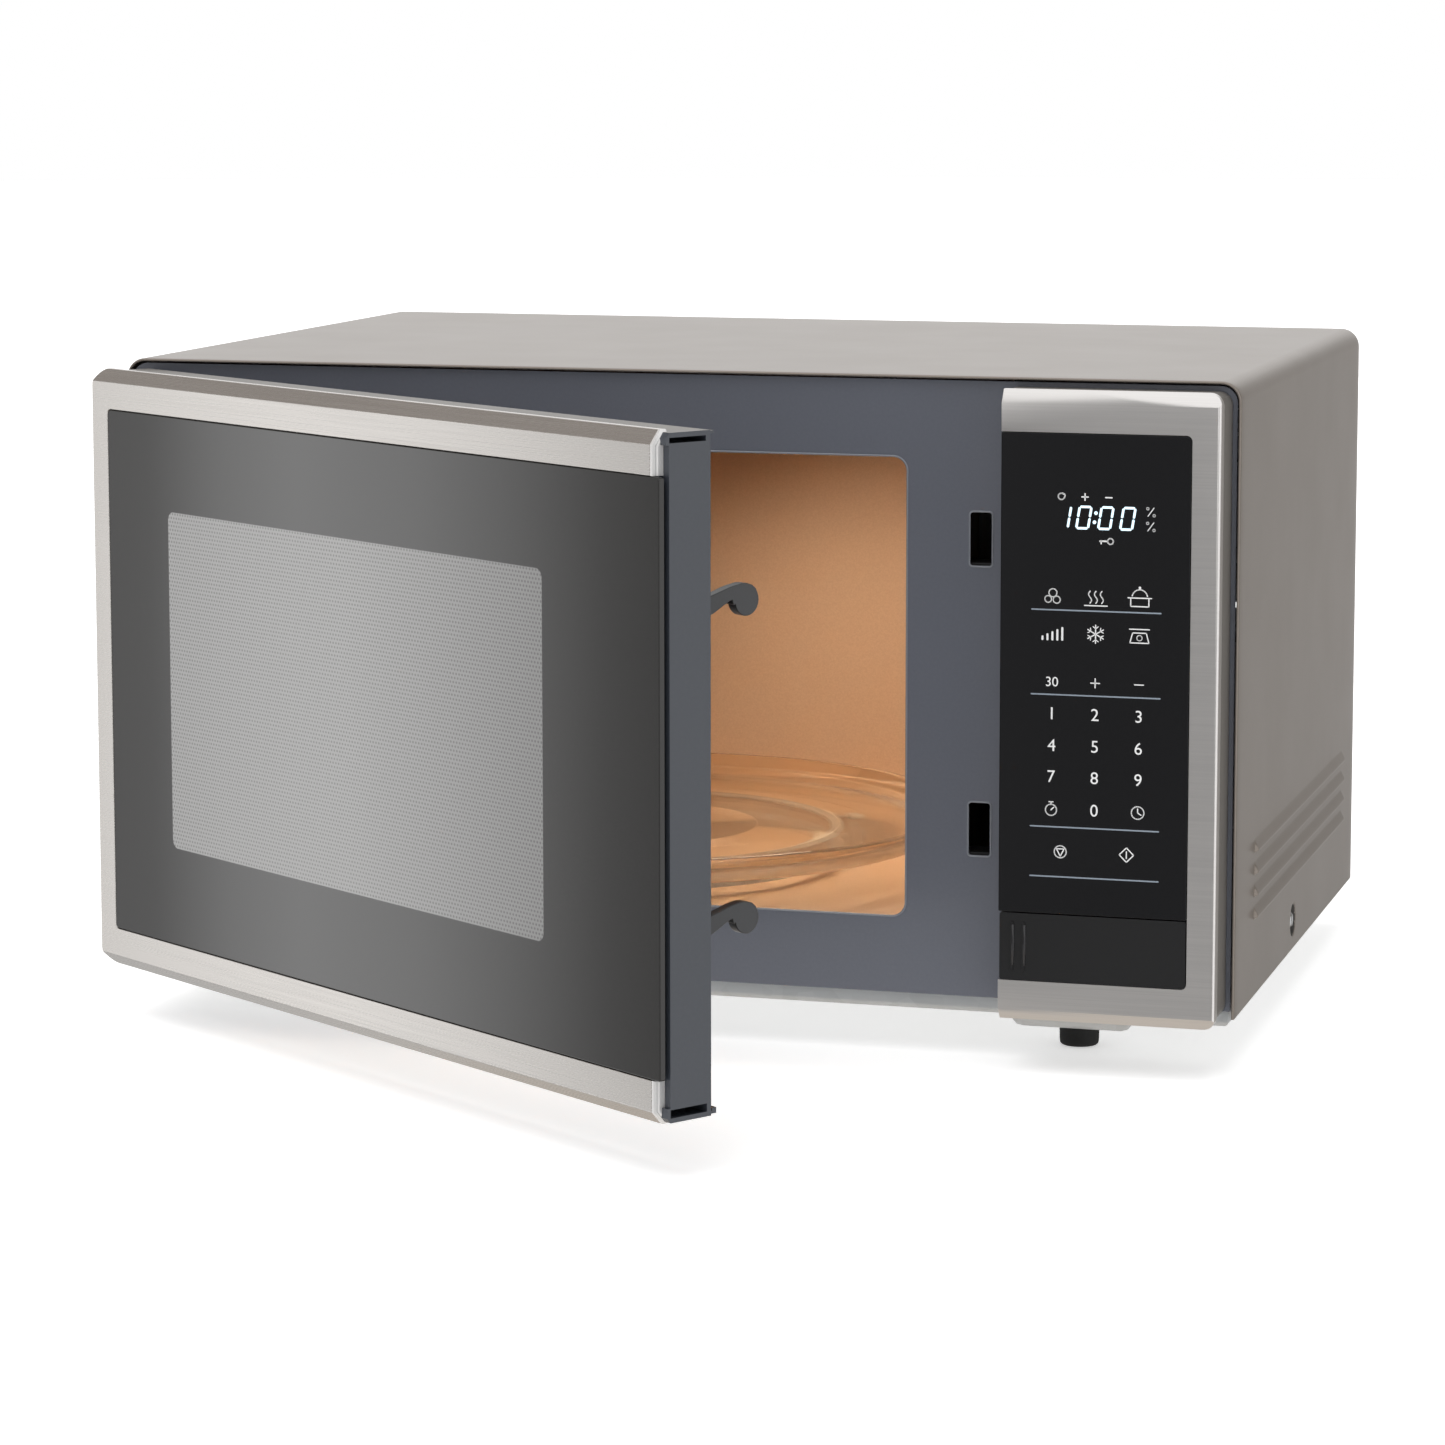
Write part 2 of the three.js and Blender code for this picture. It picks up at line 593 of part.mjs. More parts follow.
// The filter board lies on the cavity's roof, with a choke, a fuse and a capacitor block.
function noiseFilterBoard() {
  const { left, right, front, back, height } = FILTER;
  const z = CAVITY.ceiling + SHEET + height;
  const board = box(left, right, front, back, z, z + 1.6);
  const corners = [left + 4, right - 4].flatMap((x) => [[x, front + 4], [x, back - 4]]);
  const legs = corners.map(([x, y]) => bar([x, y, z - 2.6], [x, y, z + 1], 2, 6));
  const parts = [
    bar([58, 256, z + 8.5], [58, 282, z + 8.5], 7.5, 12),
    bar([78, 262, z + 4], [78, 290, z + 4], 3, 8),
    box(86, 104, 262, 290, z + 1, z + 14),
  ];
  return piece("noise_filter_board", BOARD, join(board, ...legs, ...parts));
}

// ---------------------------------------------------------------- turntable

function turntableMotor() {
  const { x, y } = TABLE;
  const body = join(
    bar([x, y, 24], [x, y, 44], 25, 24),
    box(x - 33, x + 33, y - 6, y + 6, 42, 44),
    box(x - 8, x + 8, y - 32, y - 20, 26, 42),
  );
  return piece("turntable_motor", STEEL, cut(body, bar([x, y, 36], [x, y, 45], COUPLER.shaft + 0.3, 14)));
}

function turntableCoupler() {
  const { x, y } = TABLE;
  const { lobe, lobeWidth, bottom, shoulder, top, hub, shaft } = COUPLER;
  const spindle = bar([x, y, 37], [x, y, bottom + 1], shaft, 14);
  let body = join(spindle, bar([x, y, bottom], [x, y, top], hub, 18));
  for (let i = 0; i < 3; i += 1) {
    const half = lobeWidth / 2;
    const tip = bar([x + lobe - half, y, shoulder], [x + lobe - half, y, top], half, 12);
    const arm = join(box(x, x + lobe - half, y - half, y + half, shoulder, top), tip);
    body = join(body, turnAboutZ(arm, WHEEL.turn + i * 120, x, y));
  }
  return piece("turntable_coupler", WHITE_PLASTIC, body);
}

// The tray's section: a flat floor, a low step, a sloping wall and a rolled rim.
function glassTray() {
  const { x, y, tray, underside: z } = TABLE;
  const profile = [
    [0, z],
    [tray - 14, z],
    [tray - 5, z + 3],
    [tray - 1.2, z + 8.6],
    [tray, z + 13.4],
    [tray - 1.8, z + 14.4],
    [tray - 4.4, z + 10.6],
    [tray - 9.4, z + 8],
    [tray - 18, z + 4.8],
    [0, z + 4.8],
    [0, z],
  ];
  let body = turned(profile, 54, x, y);
  for (let i = 0; i < 3; i += 1) {
    const lug = bar([x + 12.5, y, z - 5], [x + 12.5, y, z + 1], 3.2, 8);
    body = join(body, turnAboutZ(lug, 90 + i * 120, x, y));
  }
  return piece("glass_tray", CLEAR_GLASS, body);
}

function rollerRing() {
  const { x, y, track } = TABLE;
  const { path, radius, width, axle, turn, lift } = WHEEL;
  const z = track + lift + radius;
  const ring = [[96, -3], [102, -3], [103, 1.5], [101, 3], [97, 3], [95.5, 1], [96, -3]];
  let body = turned(ring, 36, x, y, z);
  for (let i = 0; i < 3; i += 1) {
    const end = path + width / 2 + 1;
    const stub = bar([x + 101, y, z], [x + end + 2, y, z], axle, 10);
    const cap = bar([x + end, y, z], [x + end + 2, y, z], axle + 1.6, 10);
    body = join(body, turnAboutZ(join(stub, cap), turn + i * 120, x, y));
  }
  return piece("roller_ring", WHITE_PLASTIC, body);
}

// A wheel stands in its own frame about the X axis and is placed on the ring's circle by its angle.
function rollerWheel(index) {
  const { path, radius, width, axle, turn, lift } = WHEEL;
  const half = width / 2;
  const bore = axle + GAP;
  const edge = 0.8;
  const tread = [
    [bore, -half],
    [radius - edge, -half],
    [radius, edge - half],
    [radius, half - edge],
    [radius - edge, half],
    [bore, half],
    [bore, -half],
  ];
  const mesh = piece(`roller_wheel_${index + 1}`, WHITE_PLASTIC, turned(tread, 20).rotate([0, 90, 0]));
  const angle = THREE.MathUtils.degToRad(turn + index * 120);
  const { x, y, track } = TABLE;
  mesh.rotation.z = angle;
  mesh.position.set(x + path * Math.cos(angle), y + path * Math.sin(angle), track + lift + radius);
  return mesh;
}

// ---------------------------------------------------------------- front section shared by door and panel

// The outline of the front seen from the side, inset by a distance, from the face back to a depth.
function frontOutline(inset, back) {
  const face = FRONT.y + inset;
  const lean = inset * 0.5;
  return [
    [face, EDGE.faceBottom + lean],
    [EDGE.y + lean, EDGE.bottom + inset],
    [back, EDGE.bottom + inset],
    [back, EDGE.top - inset],
    [EDGE.y + lean, EDGE.top - inset],
    [face, EDGE.faceTop - lean],
  ];
}

// A brushed C: an upright at one end, and a rail along the top and the bottom.
function cTrim(left, right, stileLeft, stileRight, radii) {
  const skin = cut(
    prism(frontOutline(0, EDGE.y + 2.6), "x", left, right),
    prism(frontOutline(TRIM_SHEET, EDGE.y + 4), "x", left - 1, right + 1),
  );
  const ends = prism(frontOutline(0, EDGE.y + 2.6), "x", stileLeft, stileRight);
  const behind = FRONT.y + TRIM_SHEET;
  const hollow = cut(ends, box(stileLeft + TRIM_SHEET, stileRight - TRIM_SHEET, behind, 0, 0, 400));
  const side = cut(ends, box(stileLeft - 1, stileRight + 1, behind, 0, 0, 400));
  const outerEdge = left === stileLeft ? [left - 1, left + TRIM_SHEET] : [right - TRIM_SHEET, right + 1];
  const edge = hollow.intersect(box(...outerEdge, -40, 0, 0, 400));
  const window = box(left - 1, right + 1, -40, 0, FRONT.glassBottom, FRONT.glassTop);
  const rails = cut(skin, window);
  const limit = prism(rounded(left, right, EDGE.bottom, EDGE.top, radii), "y", -40, 0, 3);
  return join(rails, side, edge).intersect(limit);
}

// ---------------------------------------------------------------- control panel

function controlTrim() {
  const { left, right, glassRight, radius } = PANEL;
  const body = cTrim(left, right, glassRight, right, [0, radius, radius, 0]);
  return piece("control_trim", BRUSHED, body);
}

function controlGlass() {
  const { left, glassRight } = PANEL;
  const low = BUTTON.top + 0.5;
  const shape = rounded(left, glassRight - GAP, low, FRONT.glassTop - GAP, 0.8);
  return piece("control_glass", BLACK_GLASS, prism(shape, "y", FRONT.y, FRONT.y + 2, 2));
}

function controlHousing() {
  const { left, right, glassRight, back, radius } = PANEL;
  const inset = TRIM_SHEET + GAP;
  const l = left + 0.2;
  const r = right - 0.2;
  const seat = FRONT.y + 2 + GAP;
  let body = prism(frontOutline(inset, back), "x", l, r);
  const outline = rounded(l, r, EDGE.bottom + inset, EDGE.top - inset, [0, radius, radius, 0]);
  body = body.intersect(prism(outline, "y", -40, back + 1, 3));
  body = cut(body, box(r - 0.9, r + 1, -40, EDGE.y + 3, 0, 400));
  body = cut(body, box(l - 1, glassRight, -40, seat, FRONT.glassBottom, FRONT.glassTop));
  const [low, high] = [EDGE.bottom + inset + WALL, EDGE.top - inset - WALL];
  const { left: near, right: far, bottom, top } = DISPLAY;
  body = cut(body, box(l + WALL, r - WALL, seat + 2, back + 1, low, high));
  body = cut(body, box(near - 3, far + 3, seat - 1, seat + 3, bottom - 4, top + 4));
  body = cut(body, box(l - 1, glassRight, -40, -15, BUTTON.bottom - 0.4, BUTTON.top + 0.4));
  const { pivotX: x, pivotY: y } = BUTTON;
  for (const from of [BUTTON.bottom - 4, BUTTON.top + 0.7]) {
    const to = from + 3.3;
    const boss = box(x - 4, x + 4, seat + 1, y + 4, from, to);
    body = join(body, cut(boss, bar([x, y, from - 1], [x, y, to + 1], 1.9, 12)));
  }
  return piece("control_housing", BROWN_PLASTIC, body);
}

// The button rocks about an upright pin at its right end; its ramp lifts the release lever.
function releaseButton() {
  const { bottom, top, left, right, pivotX, pivotY } = BUTTON;
  const face = prism(rounded(left, right, bottom, top, 0.8), "y", FRONT.y, FRONT.y + 3.4, 2);
  const ribs = [0, 1].map((i) => {
    const x = left + RIBS.inset + i * RIBS.pitch;
    return box(x, x + RIBS.width, FRONT.y - RIBS.proud, FRONT.y + 1, bottom + 4, top - 4);
  });
  const web = box(pivotX - 2, pivotX + 1.4, FRONT.y + 3, pivotY, bottom + 1, top - 1);
  const pin = bar([pivotX, pivotY, bottom - 3.5], [pivotX, pivotY, top + 3.5], 1.5, 12);
  const { left: a, right: b, y, z, slope } = RAMP;
  const arm = [
    [FRONT.y + 3, z - 9],
    [y + 7, z - 9],
    [y + 7, z - 7 * slope],
    [y - 10, z + 10 * slope],
    [y - 10, z - 3.5],
    [FRONT.y + 3, z - 3.5],
  ];
  return piece("release_button", BLACK_PLASTIC, join(face, ...ribs, web, pin, prism(arm, "x", a, b)));
}

function displayModule() {
  const { left, right, front, back, bottom, top } = DISPLAY;
  const block = box(left, right, front, back, bottom, top);
  const pins = [bottom + 4, top - 6].map((z) => box(left + 3, right - 3, back - 1, back + 3.4, z, z + 2));
  return piece("display_module", BLACK_PLASTIC, join(block, ...pins));
}

function controlBoard() {
  const board = box(172, 250, -8, -6.4, 84, 290);
  const parts = [
    box(180, 200, -7, 6, 100, 116),
    box(206, 226, -7, 6, 100, 116),
    box(182, 214, -7, 14, 126, 152),
    bar([236, -7, 130], [236, 6, 130], 6, 10),
    box(184, 230, -7, -3.6, 180, 196),
  ];
  return piece("control_board", BOARD, join(board, ...parts));
}

// ---------------------------------------------------------------- latch board, switches, lever

function latchBoard() {
  const { left, right, back, bottom, top, ledge } = LATCH;
  const front = PLATE.y + SHEET + GAP;
  let body = join(
    box(left, right, front, back, bottom, top),
    box(left, 163.8, front, front + 2.6, bottom, top),
  );
  for (const height of [ledge, ledge - HOOK_PITCH]) {
    body = join(body, box(138, left + 1, front, 20.6, height - 6, height));
  }
  body = cut(body, box(left - 1, right + 1, 11, LEVER.back + GAP, 80, 99));
  const wall = box(left, LEVER.x + 9, LEVER.back + GAP, LEVER.back + 3, 66, 92);
  const pin = bar([LEVER.x, LEVER.front - 1.5, LEVER.z], [LEVER.x, LEVER.back + 1, LEVER.z], LEVER.pin, 14);
  return piece("latch_board", WHITE_PLASTIC, join(body, wall, pin));
}

function doorSwitch(name, z) {
  const x = LATCH.right + GAP;
  const body = join(
    box(x, x + 10, 28, 56, z, z + 16),
    bar([x + 5, 34, z - 1.6], [x + 5, 34, z + 1], 1.6, 6),
    ...[34, 42, 50].map((y) => box(x + 4.6, x + 5.4, y, y + 4, z + 15, z + 21)),
  );
  return piece(name, BLACK_PLASTIC, body);
}

function releaseLever() {
  const { x, z, front, back, pin } = LEVER;
  const outline = [
    [141.5, 82],
    [150, 80],
    [170, 74],
    [x, z - 6],
    [x, z + 6],
    [168, 84],
    [150, 86.8],
    [141.5, 86.8],
  ];
  const lug = [
    [RAMP.y - 1.5, RAMP.z + 2.6],
    [RAMP.y, RAMP.z + 0.5],
    [RAMP.y + 1.5, RAMP.z + 2.6],
    [front + 1, 77.5],
    [front + 1, 82.5],
    [RAMP.y - 1.5, 80],
  ];
  const hub = bar([x, front, z], [x, back, z], 6, 16);
  const follower = prism(lug, "x", RAMP.left - 0.5, RAMP.right + 0.5);
  const body = join(prism(outline, "y", front, back), hub, follower);
  const bore = bar([x, front - 1, z], [x, back + 1, z], pin + GAP, 14);
  return piece("release_lever", WHITE_PLASTIC, cut(body, bore));
}

// ---------------------------------------------------------------- door

function doorTrim() {
  const { left, railEnd, glassLeft, radius } = DOOR;
  return piece("door_trim", BRUSHED, cTrim(left, railEnd, left, glassLeft, [radius, 0, 0, radius]));
}

function doorGlass() {
  const { glassLeft, right } = DOOR;
  const { y, glass, glassBottom, glassTop } = FRONT;
  const shape = rounded(glassLeft + GAP, right, glassBottom + GAP, glassTop - GAP, 1);
  return piece("door_glass", DARK_GLASS, prism(shape, "y", y, y + glass, 2));
}

// Where the hinge arm sweeps through the frame, at the top or the bottom of the door.
function hingeNotch(plateZ) {
  const { x, y, arm } = HINGE;
  return box(DOOR.left - 1, x + arm + 0.6, y - 5.6, DOOR.back + 1, plateZ - 1, plateZ + 3);
}

function doorFrame() {
  const { left, right, glassLeft, back, radius } = DOOR;
  const inset = TRIM_SHEET + GAP;
  const seat = FRONT.y + FRONT.glass + GAP;
  const l = left + 0.3;
  const r = right + 0.6;
  const low = EDGE.bottom + inset;
  const high = EDGE.top - inset;
  let body = prism(frontOutline(inset, back), "x", l, r);
  body = body.intersect(prism(rounded(l, r, low, high, [radius, 0, 0, radius]), "y", -40, back + 1, 3));
  body = cut(body, box(l - 1, l + 0.9, -40, EDGE.y + 3, 0, 400));
  body = cut(body, box(glassLeft, r + 1, -40, seat, FRONT.glassBottom, FRONT.glassTop));
  body = cut(body, box(DOOR.railEnd - 0.1, r + 1, -40, seat, 0, 400));
  body = cut(body, box(l + WALL, r - WALL, seat + 2, back - WALL, low + WALL, high - WALL));
  const [sill, head] = [FRONT.glassBottom + 14, FRONT.glassTop - 14];
  const recess = rounded(COVER.left, COVER.right, COVER.bottom, COVER.top, 6);
  body = cut(body, box(glassLeft + 12, 126, seat - 1, seat + 3, sill, head));
  body = cut(body, prism(recess, "y", back - 4, back + 1));
  for (const drop of [0, HOOK_PITCH]) {
    const z = SLOT.bottom - drop;
    body = cut(body, box(HOOK.x - 3.6, HOOK.x + 3.6, back - 4, back + 1, z - 6, z + 24));
  }
  for (const plateZ of [HINGE_PLATES.top, HINGE_PLATES.bottom]) {
    const upper = plateZ === HINGE_PLATES.top;
    const block = upper ? [plateZ - 22, high] : [low, plateZ + 24];
    const round = prism(rounded(l, r, low, high, [radius, 0, 0, radius]), "y", -40, 0, 3);
    body = join(body, box(l, l + 13, -16, back, ...block).intersect(round));
    body = cut(body, hingeNotch(plateZ));
    const bore = upper ? [plateZ - 14, plateZ] : [plateZ + 1, plateZ + 16];
    body = cut(body, bar([HINGE.x, HINGE.y, bore[0]], [HINGE.x, HINGE.y, bore[1]], HINGE.pin + 0.3, 14));
  }
  const anchor = box(HOOK.x - 4, HOOK.x + 4, seat + 1.5, -10, 52, 58);
  return piece("door_frame", GREY_PLASTIC, join(body, anchor));
}

// The steel screen: a shallow pan whose flat faces the glass, with its rim turned back as the choke wall.
function doorScreen() {
  const { left, right, bottom, top, front, back } = SCREEN;
  const s = SHEET;
  const outside = prism(rounded(left, right, bottom, top, 4), "y", front, back, 2);
  const inside = prism(rounded(left + s, right - s, bottom + s, top - s, 4), "y", front + s, back + 1, 2);
  return piece("door_screen", SCREEN_STEEL, cut(outside, inside));
}

function chokeCover() {
  const outside = rounded(COVER.left + GAP, COVER.right - GAP, COVER.bottom + GAP, COVER.top - GAP, 6);
  const inside = rounded(WINDOW.left + 2, WINDOW.right - 2, WINDOW.bottom + 2, WINDOW.top - 2, 4);
  const body = cut(prism(outside, "y", -3.6, -0.4), prism(inside, "y", -5, 1));
  return piece("choke_cover", GREY_PLASTIC, body);
}

function doorInnerWindow() {
  const shape = rounded(WINDOW.left - 8, WINDOW.right + 8, WINDOW.bottom - 8, WINDOW.top + 8, 5);
  return piece("door_inner_window", CLEAR_GLASS, prism(shape, "y", -4.7, -3.9, 3));
}

// Two hooks on one upright bar that slides up inside the door.
function latchHooks() {
  const hook = [
    [-12, 217.5],
    [-5, 221.5],
    [10.7, 226.4],
    [20.4, 231.2],
    [21.6, 230.8],
    [21.8, 227.4],
    [23.6, 225],
    [28.4, 224.1],
    [32.8, 224.8],
    [34.7, 226.6],
    [34.7, 233.2],
    [31.4, 236.4],
    [25.7, 237.8],
    [20, 236.8],
    [10.7, 234.2],
    [-5, 230.2],
    [-12, 229],
  ];
  const from = HOOK.x - HOOK.width / 2;
  const to = HOOK.x + HOOK.width / 2;
  const upper = prism(hook, "x", from, to);
  const lower = upper.translate([0, 0, -HOOK_PITCH]);
  const spine = [[-19, 84], [-12.5, 84], [-11, 92], [-11, 230], [-14, 236], [-19, 236]];
  return piece("latch_hooks", BLACK_PLASTIC, join(upper, lower, prism(spine, "x", from, to)));
}

class Coil extends THREE.Curve {
  getPoint(t, target = new THREE.Vector3()) {
    const { y, bottom, top, radius, wire, turns } = SPRING;
    const angle = 2 * Math.PI * turns * t;
    const height = THREE.MathUtils.lerp(bottom + wire, top - wire, t);
    return target.set(HOOK.x + radius * Math.cos(angle), y + radius * Math.sin(angle), height);
  }
}

function latchSpring() {
  const section = new THREE.Shape();
  section.absarc(0, 0, SPRING.wire, 0, 2 * Math.PI, false);
  const geometry = new THREE.ExtrudeGeometry(section, {
    extrudePath: new Coil(),
    steps: SPRING.turns * 9,
    curveSegments: 2,
    bevelEnabled: false,
  });
  return piece("latch_spring", STEEL, solid(geometry));
}

// A hinge: a flange in front of the cavity plate, an arm out to the axis and a pin into the door.
function hinge(name, plateZ, pinTo) {
  const { x, y, pin, arm } = HINGE;
  const back = PLATE.y - GAP;
  const upper = plateZ === HINGE_PLATES.top;
  const flangeZ = upper ? [plateZ - 18, plateZ + 2] : [plateZ, plateZ + 20];
  const flange = box(x - arm, x + 18, back - 1, back, ...flangeZ);
  const plate = box(x - arm, x + arm, y, back, plateZ, plateZ + 2);
  const eye = bar([x, y, plateZ], [x, y, plateZ + 2], arm, 16);
  const stem = bar([x, y, plateZ + 1], [x, y, pinTo], pin, 14);
  return piece(name, STEEL, join(flange, plate, eye, stem));
}

// ---------------------------------------------------------------- the oven

const cabinet = new THREE.Group();
cabinet.add(
  outerCabinet(),
  rearPanel(),
  ...REAR_SCREWS.map(rearScrew),
  cordGland(),
  sideScrew(-1),
  sideScrew(1),
  basePlate(),
  foot("foot_front_left", FEET[0]),
  foot("foot_front_right", FEET[1]),
  foot("foot_back_left", FEET[2]),
  foot("foot_back_right", FEET[3]),
  frontPlate(),
  cavityBox(),
  waveguide(),
  micaCover(),
  magnetronYoke(),
  magnetronCore(),
  thermalCutout(),
  transformerCore(),
  transformerWindings(),
  hvCapacitor(),
  hvDiode(),
  fanHousing(),
  fanMotor(),
  fanImpeller(),
  airDuct(),
  lampBulb(),
  lampSocket(),
  noiseFilterBoard(),
  turntableMotor(),
  latchBoard(),
  doorSwitch("primary_switch", 226),
  doorSwitch("secondary_switch", 102),
  doorSwitch("monitor_switch", 130),
  releaseLever(),
  hinge("upper_hinge", HINGE_PLATES.top, HINGE_PLATES.top - 11),
  hinge("lower_hinge", HINGE_PLATES.bottom, HINGE_PLATES.bottom + 13),
);

const turntable = new THREE.Group();
turntable.add(turntableCoupler(), rollerRing(), ...[0, 1, 2].map(rollerWheel), glassTray());

const panel = new THREE.Group();
panel.add(
  controlHousing(),
  controlTrim(),
  controlGlass(),
  releaseButton(),
  displayModule(),
  controlBoard(),
);

// The leaf is drawn shut; the door group swings it about the hinge pins.
const leaf = new THREE.Group();
leaf.position.set(-HINGE.x, -HINGE.y, 0);
leaf.add(
  doorTrim(),
  doorGlass(),
  doorFrame(),
  doorScreen(),
  chokeCover(),
  doorInnerWindow(),
  latchHooks(),
  latchSpring(),
);

const door = new THREE.Group();
door.position.set(HINGE.x, HINGE.y, 0);
door.rotation.z = -THREE.MathUtils.degToRad(HINGE.ajar);
door.add(leaf);

const cabinetFrame = new THREE.Group();
cabinetFrame.position.set(-ORIGIN.x, -ORIGIN.y, 0);
cabinetFrame.add(cabinet, turntable, panel, door);

const oven = new THREE.Group();
oven.add(cabinetFrame);

export default oven;
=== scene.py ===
# Countertop microwave oven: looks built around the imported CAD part. Metres, in the part's frame.
import json
import math

import bmesh
import bpy
from mathutils import Matrix, Vector


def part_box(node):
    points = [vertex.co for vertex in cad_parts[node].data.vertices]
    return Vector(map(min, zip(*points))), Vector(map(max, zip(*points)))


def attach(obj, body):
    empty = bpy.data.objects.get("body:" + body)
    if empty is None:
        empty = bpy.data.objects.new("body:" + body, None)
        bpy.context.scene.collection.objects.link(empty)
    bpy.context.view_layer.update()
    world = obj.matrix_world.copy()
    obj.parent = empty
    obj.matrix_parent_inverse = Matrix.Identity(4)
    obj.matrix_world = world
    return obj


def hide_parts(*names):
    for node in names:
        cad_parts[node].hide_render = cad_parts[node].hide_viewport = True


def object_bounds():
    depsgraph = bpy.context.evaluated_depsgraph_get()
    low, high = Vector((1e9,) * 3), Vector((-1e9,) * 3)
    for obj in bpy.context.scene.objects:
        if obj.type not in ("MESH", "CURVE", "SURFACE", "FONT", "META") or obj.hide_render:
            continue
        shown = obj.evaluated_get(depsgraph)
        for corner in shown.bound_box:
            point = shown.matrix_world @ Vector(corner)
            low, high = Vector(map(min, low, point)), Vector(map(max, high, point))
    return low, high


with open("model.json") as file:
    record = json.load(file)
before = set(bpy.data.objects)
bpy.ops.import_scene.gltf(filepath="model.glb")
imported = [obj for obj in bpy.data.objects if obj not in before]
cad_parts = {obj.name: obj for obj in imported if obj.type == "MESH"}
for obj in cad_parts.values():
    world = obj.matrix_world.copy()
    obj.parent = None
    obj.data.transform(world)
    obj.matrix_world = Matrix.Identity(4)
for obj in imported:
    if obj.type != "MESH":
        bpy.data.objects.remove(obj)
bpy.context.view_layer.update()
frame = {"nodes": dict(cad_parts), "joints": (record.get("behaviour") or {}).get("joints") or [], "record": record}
scene = bpy.context.scene
nodes = frame["nodes"]

# ---------------- places

# Custom pieces are drawn in millimetres from the middle of the cabinet's front edge, at table height,
# with the door shut. CABINET and DOOR carry them into the part's frame.
MM = 0.001
cabinet_low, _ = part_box("outer_cabinet")
plate_low, plate_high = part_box("front_plate")
middle = (plate_low.x + plate_high.x) / 2
CABINET = Matrix.Translation((middle, cabinet_low.y, 0))
joints = {j["name"]: j for j in frame["joints"]}
hinge = joints["door_hinge"]
AJAR = math.radians(-hinge["range_deg"][0])
pivot = Matrix.Translation(Vector(hinge["pos_m"]))
DOOR = pivot @ Matrix.Rotation(-AJAR, 4, "Z") @ pivot.inverted() @ CABINET
PLACE = {"cabinet": CABINET, "door": DOOR, "latch": DOOR}


def local(node):
    """A CAD node's box in millimetres from the middle of the cabinet's front edge."""
    low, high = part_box(node)
    return (low - CABINET.translation) / MM, (high - CABINET.translation) / MM


def leaf(node):
    """The same for a node on the door, with the door shut."""
    back = DOOR.inverted()
    points = [back @ v.co for v in nodes[node].data.vertices]
    low = Vector(min(p[i] for p in points) for i in range(3))
    high = Vector(max(p[i] for p in points) for i in range(3))
    return low / MM, high / MM


# ---------------- mesh code

def add(name, data):
    thing = bpy.data.objects.new(name, data)
    scene.collection.objects.link(thing)
    return thing


def new_object(name, verts, faces):
    """A mesh from millimetres, with its normals out."""
    mesh = bpy.data.meshes.new(name)
    mesh.from_pydata([Vector(v) * MM for v in verts], [], faces)
    bm = bmesh.new()
    bm.from_mesh(mesh)
    bmesh.ops.remove_doubles(bm, verts=bm.verts, dist=1e-7)
    bmesh.ops.recalc_face_normals(bm, faces=bm.faces)
    bm.to_mesh(mesh)
    bm.free()
    return add(name, mesh)


AXES = {
    "x": lambda u, v, w: (w, u, v),
    "y": lambda u, v, w: (u, w, v),
    "z": lambda u, v, w: (u, v, w),
}


def around(u, v, radius, angles):
    """Points about a centre, at some angles."""
    return [(u + radius * math.cos(a), v + radius * math.sin(a)) for a in angles]


def rounded(left, right, bottom, top, radii, steps=8):
    """A rectangle with its own radius at each corner: lower left, lower right, upper right, upper left."""
    if not isinstance(radii, (list, tuple)):
        radii = [radii] * 4
    corners = [(left, bottom), (right, bottom), (right, top), (left, top)]
    inward = [(1, 1), (-1, 1), (-1, -1), (1, -1)]
    outline = []
    for i, ((u, v), (du, dv), r) in enumerate(zip(corners, inward, radii)):
        if r <= 0:
            outline.append((u, v))
            continue
        start = math.pi + i * math.pi / 2
        turns = [start + math.pi / 2 * k / steps for k in range(steps + 1)]
        outline += around(u + du * r, v + dv * r, r, turns)
    return outline


def prism(outline, axis, low, high, name="tool"):
    n = len(outline)
    place = AXES[axis]
    verts = [place(u, v, low) for u, v in outline] + [place(u, v, high) for u, v in outline]
    sides = [[i, (i + 1) % n, n + (i + 1) % n, n + i] for i in range(n)]
    return new_object(name, verts, [list(range(n)), list(range(n, 2 * n)), *sides])


def block(x0, x1, y0, y1, z0, z1):
    return prism([(x0, y0), (x1, y0), (x1, y1), (x0, y1)], "z", z0, z1)


def loft(sections, axis, name="tool"):
    """Joins outlines of equal length along an axis, from [place, outline] pairs, with closed ends."""
    n = len(sections[0][1])
    place = AXES[axis]
    verts = [place(u, v, w) for w, outline in sections for u, v in outline]
    faces = [list(range(n)), list(range(len(verts) - n, len(verts)))]
    for k in range(len(sections) - 1):
        a = k * n
        faces += [[a + i, a + (i + 1) % n, a + n + (i + 1) % n, a + n + i] for i in range(n)]
    return new_object(name, verts, faces)


def steps(start, end, size):
    count = max(1, round(abs(end - start) / size))
    return [start + (end - start) * k / count for k in range(count)]


def eased(t):
    t = min(1.0, max(0.0, t))
    return t * t * (3 - 2 * t)


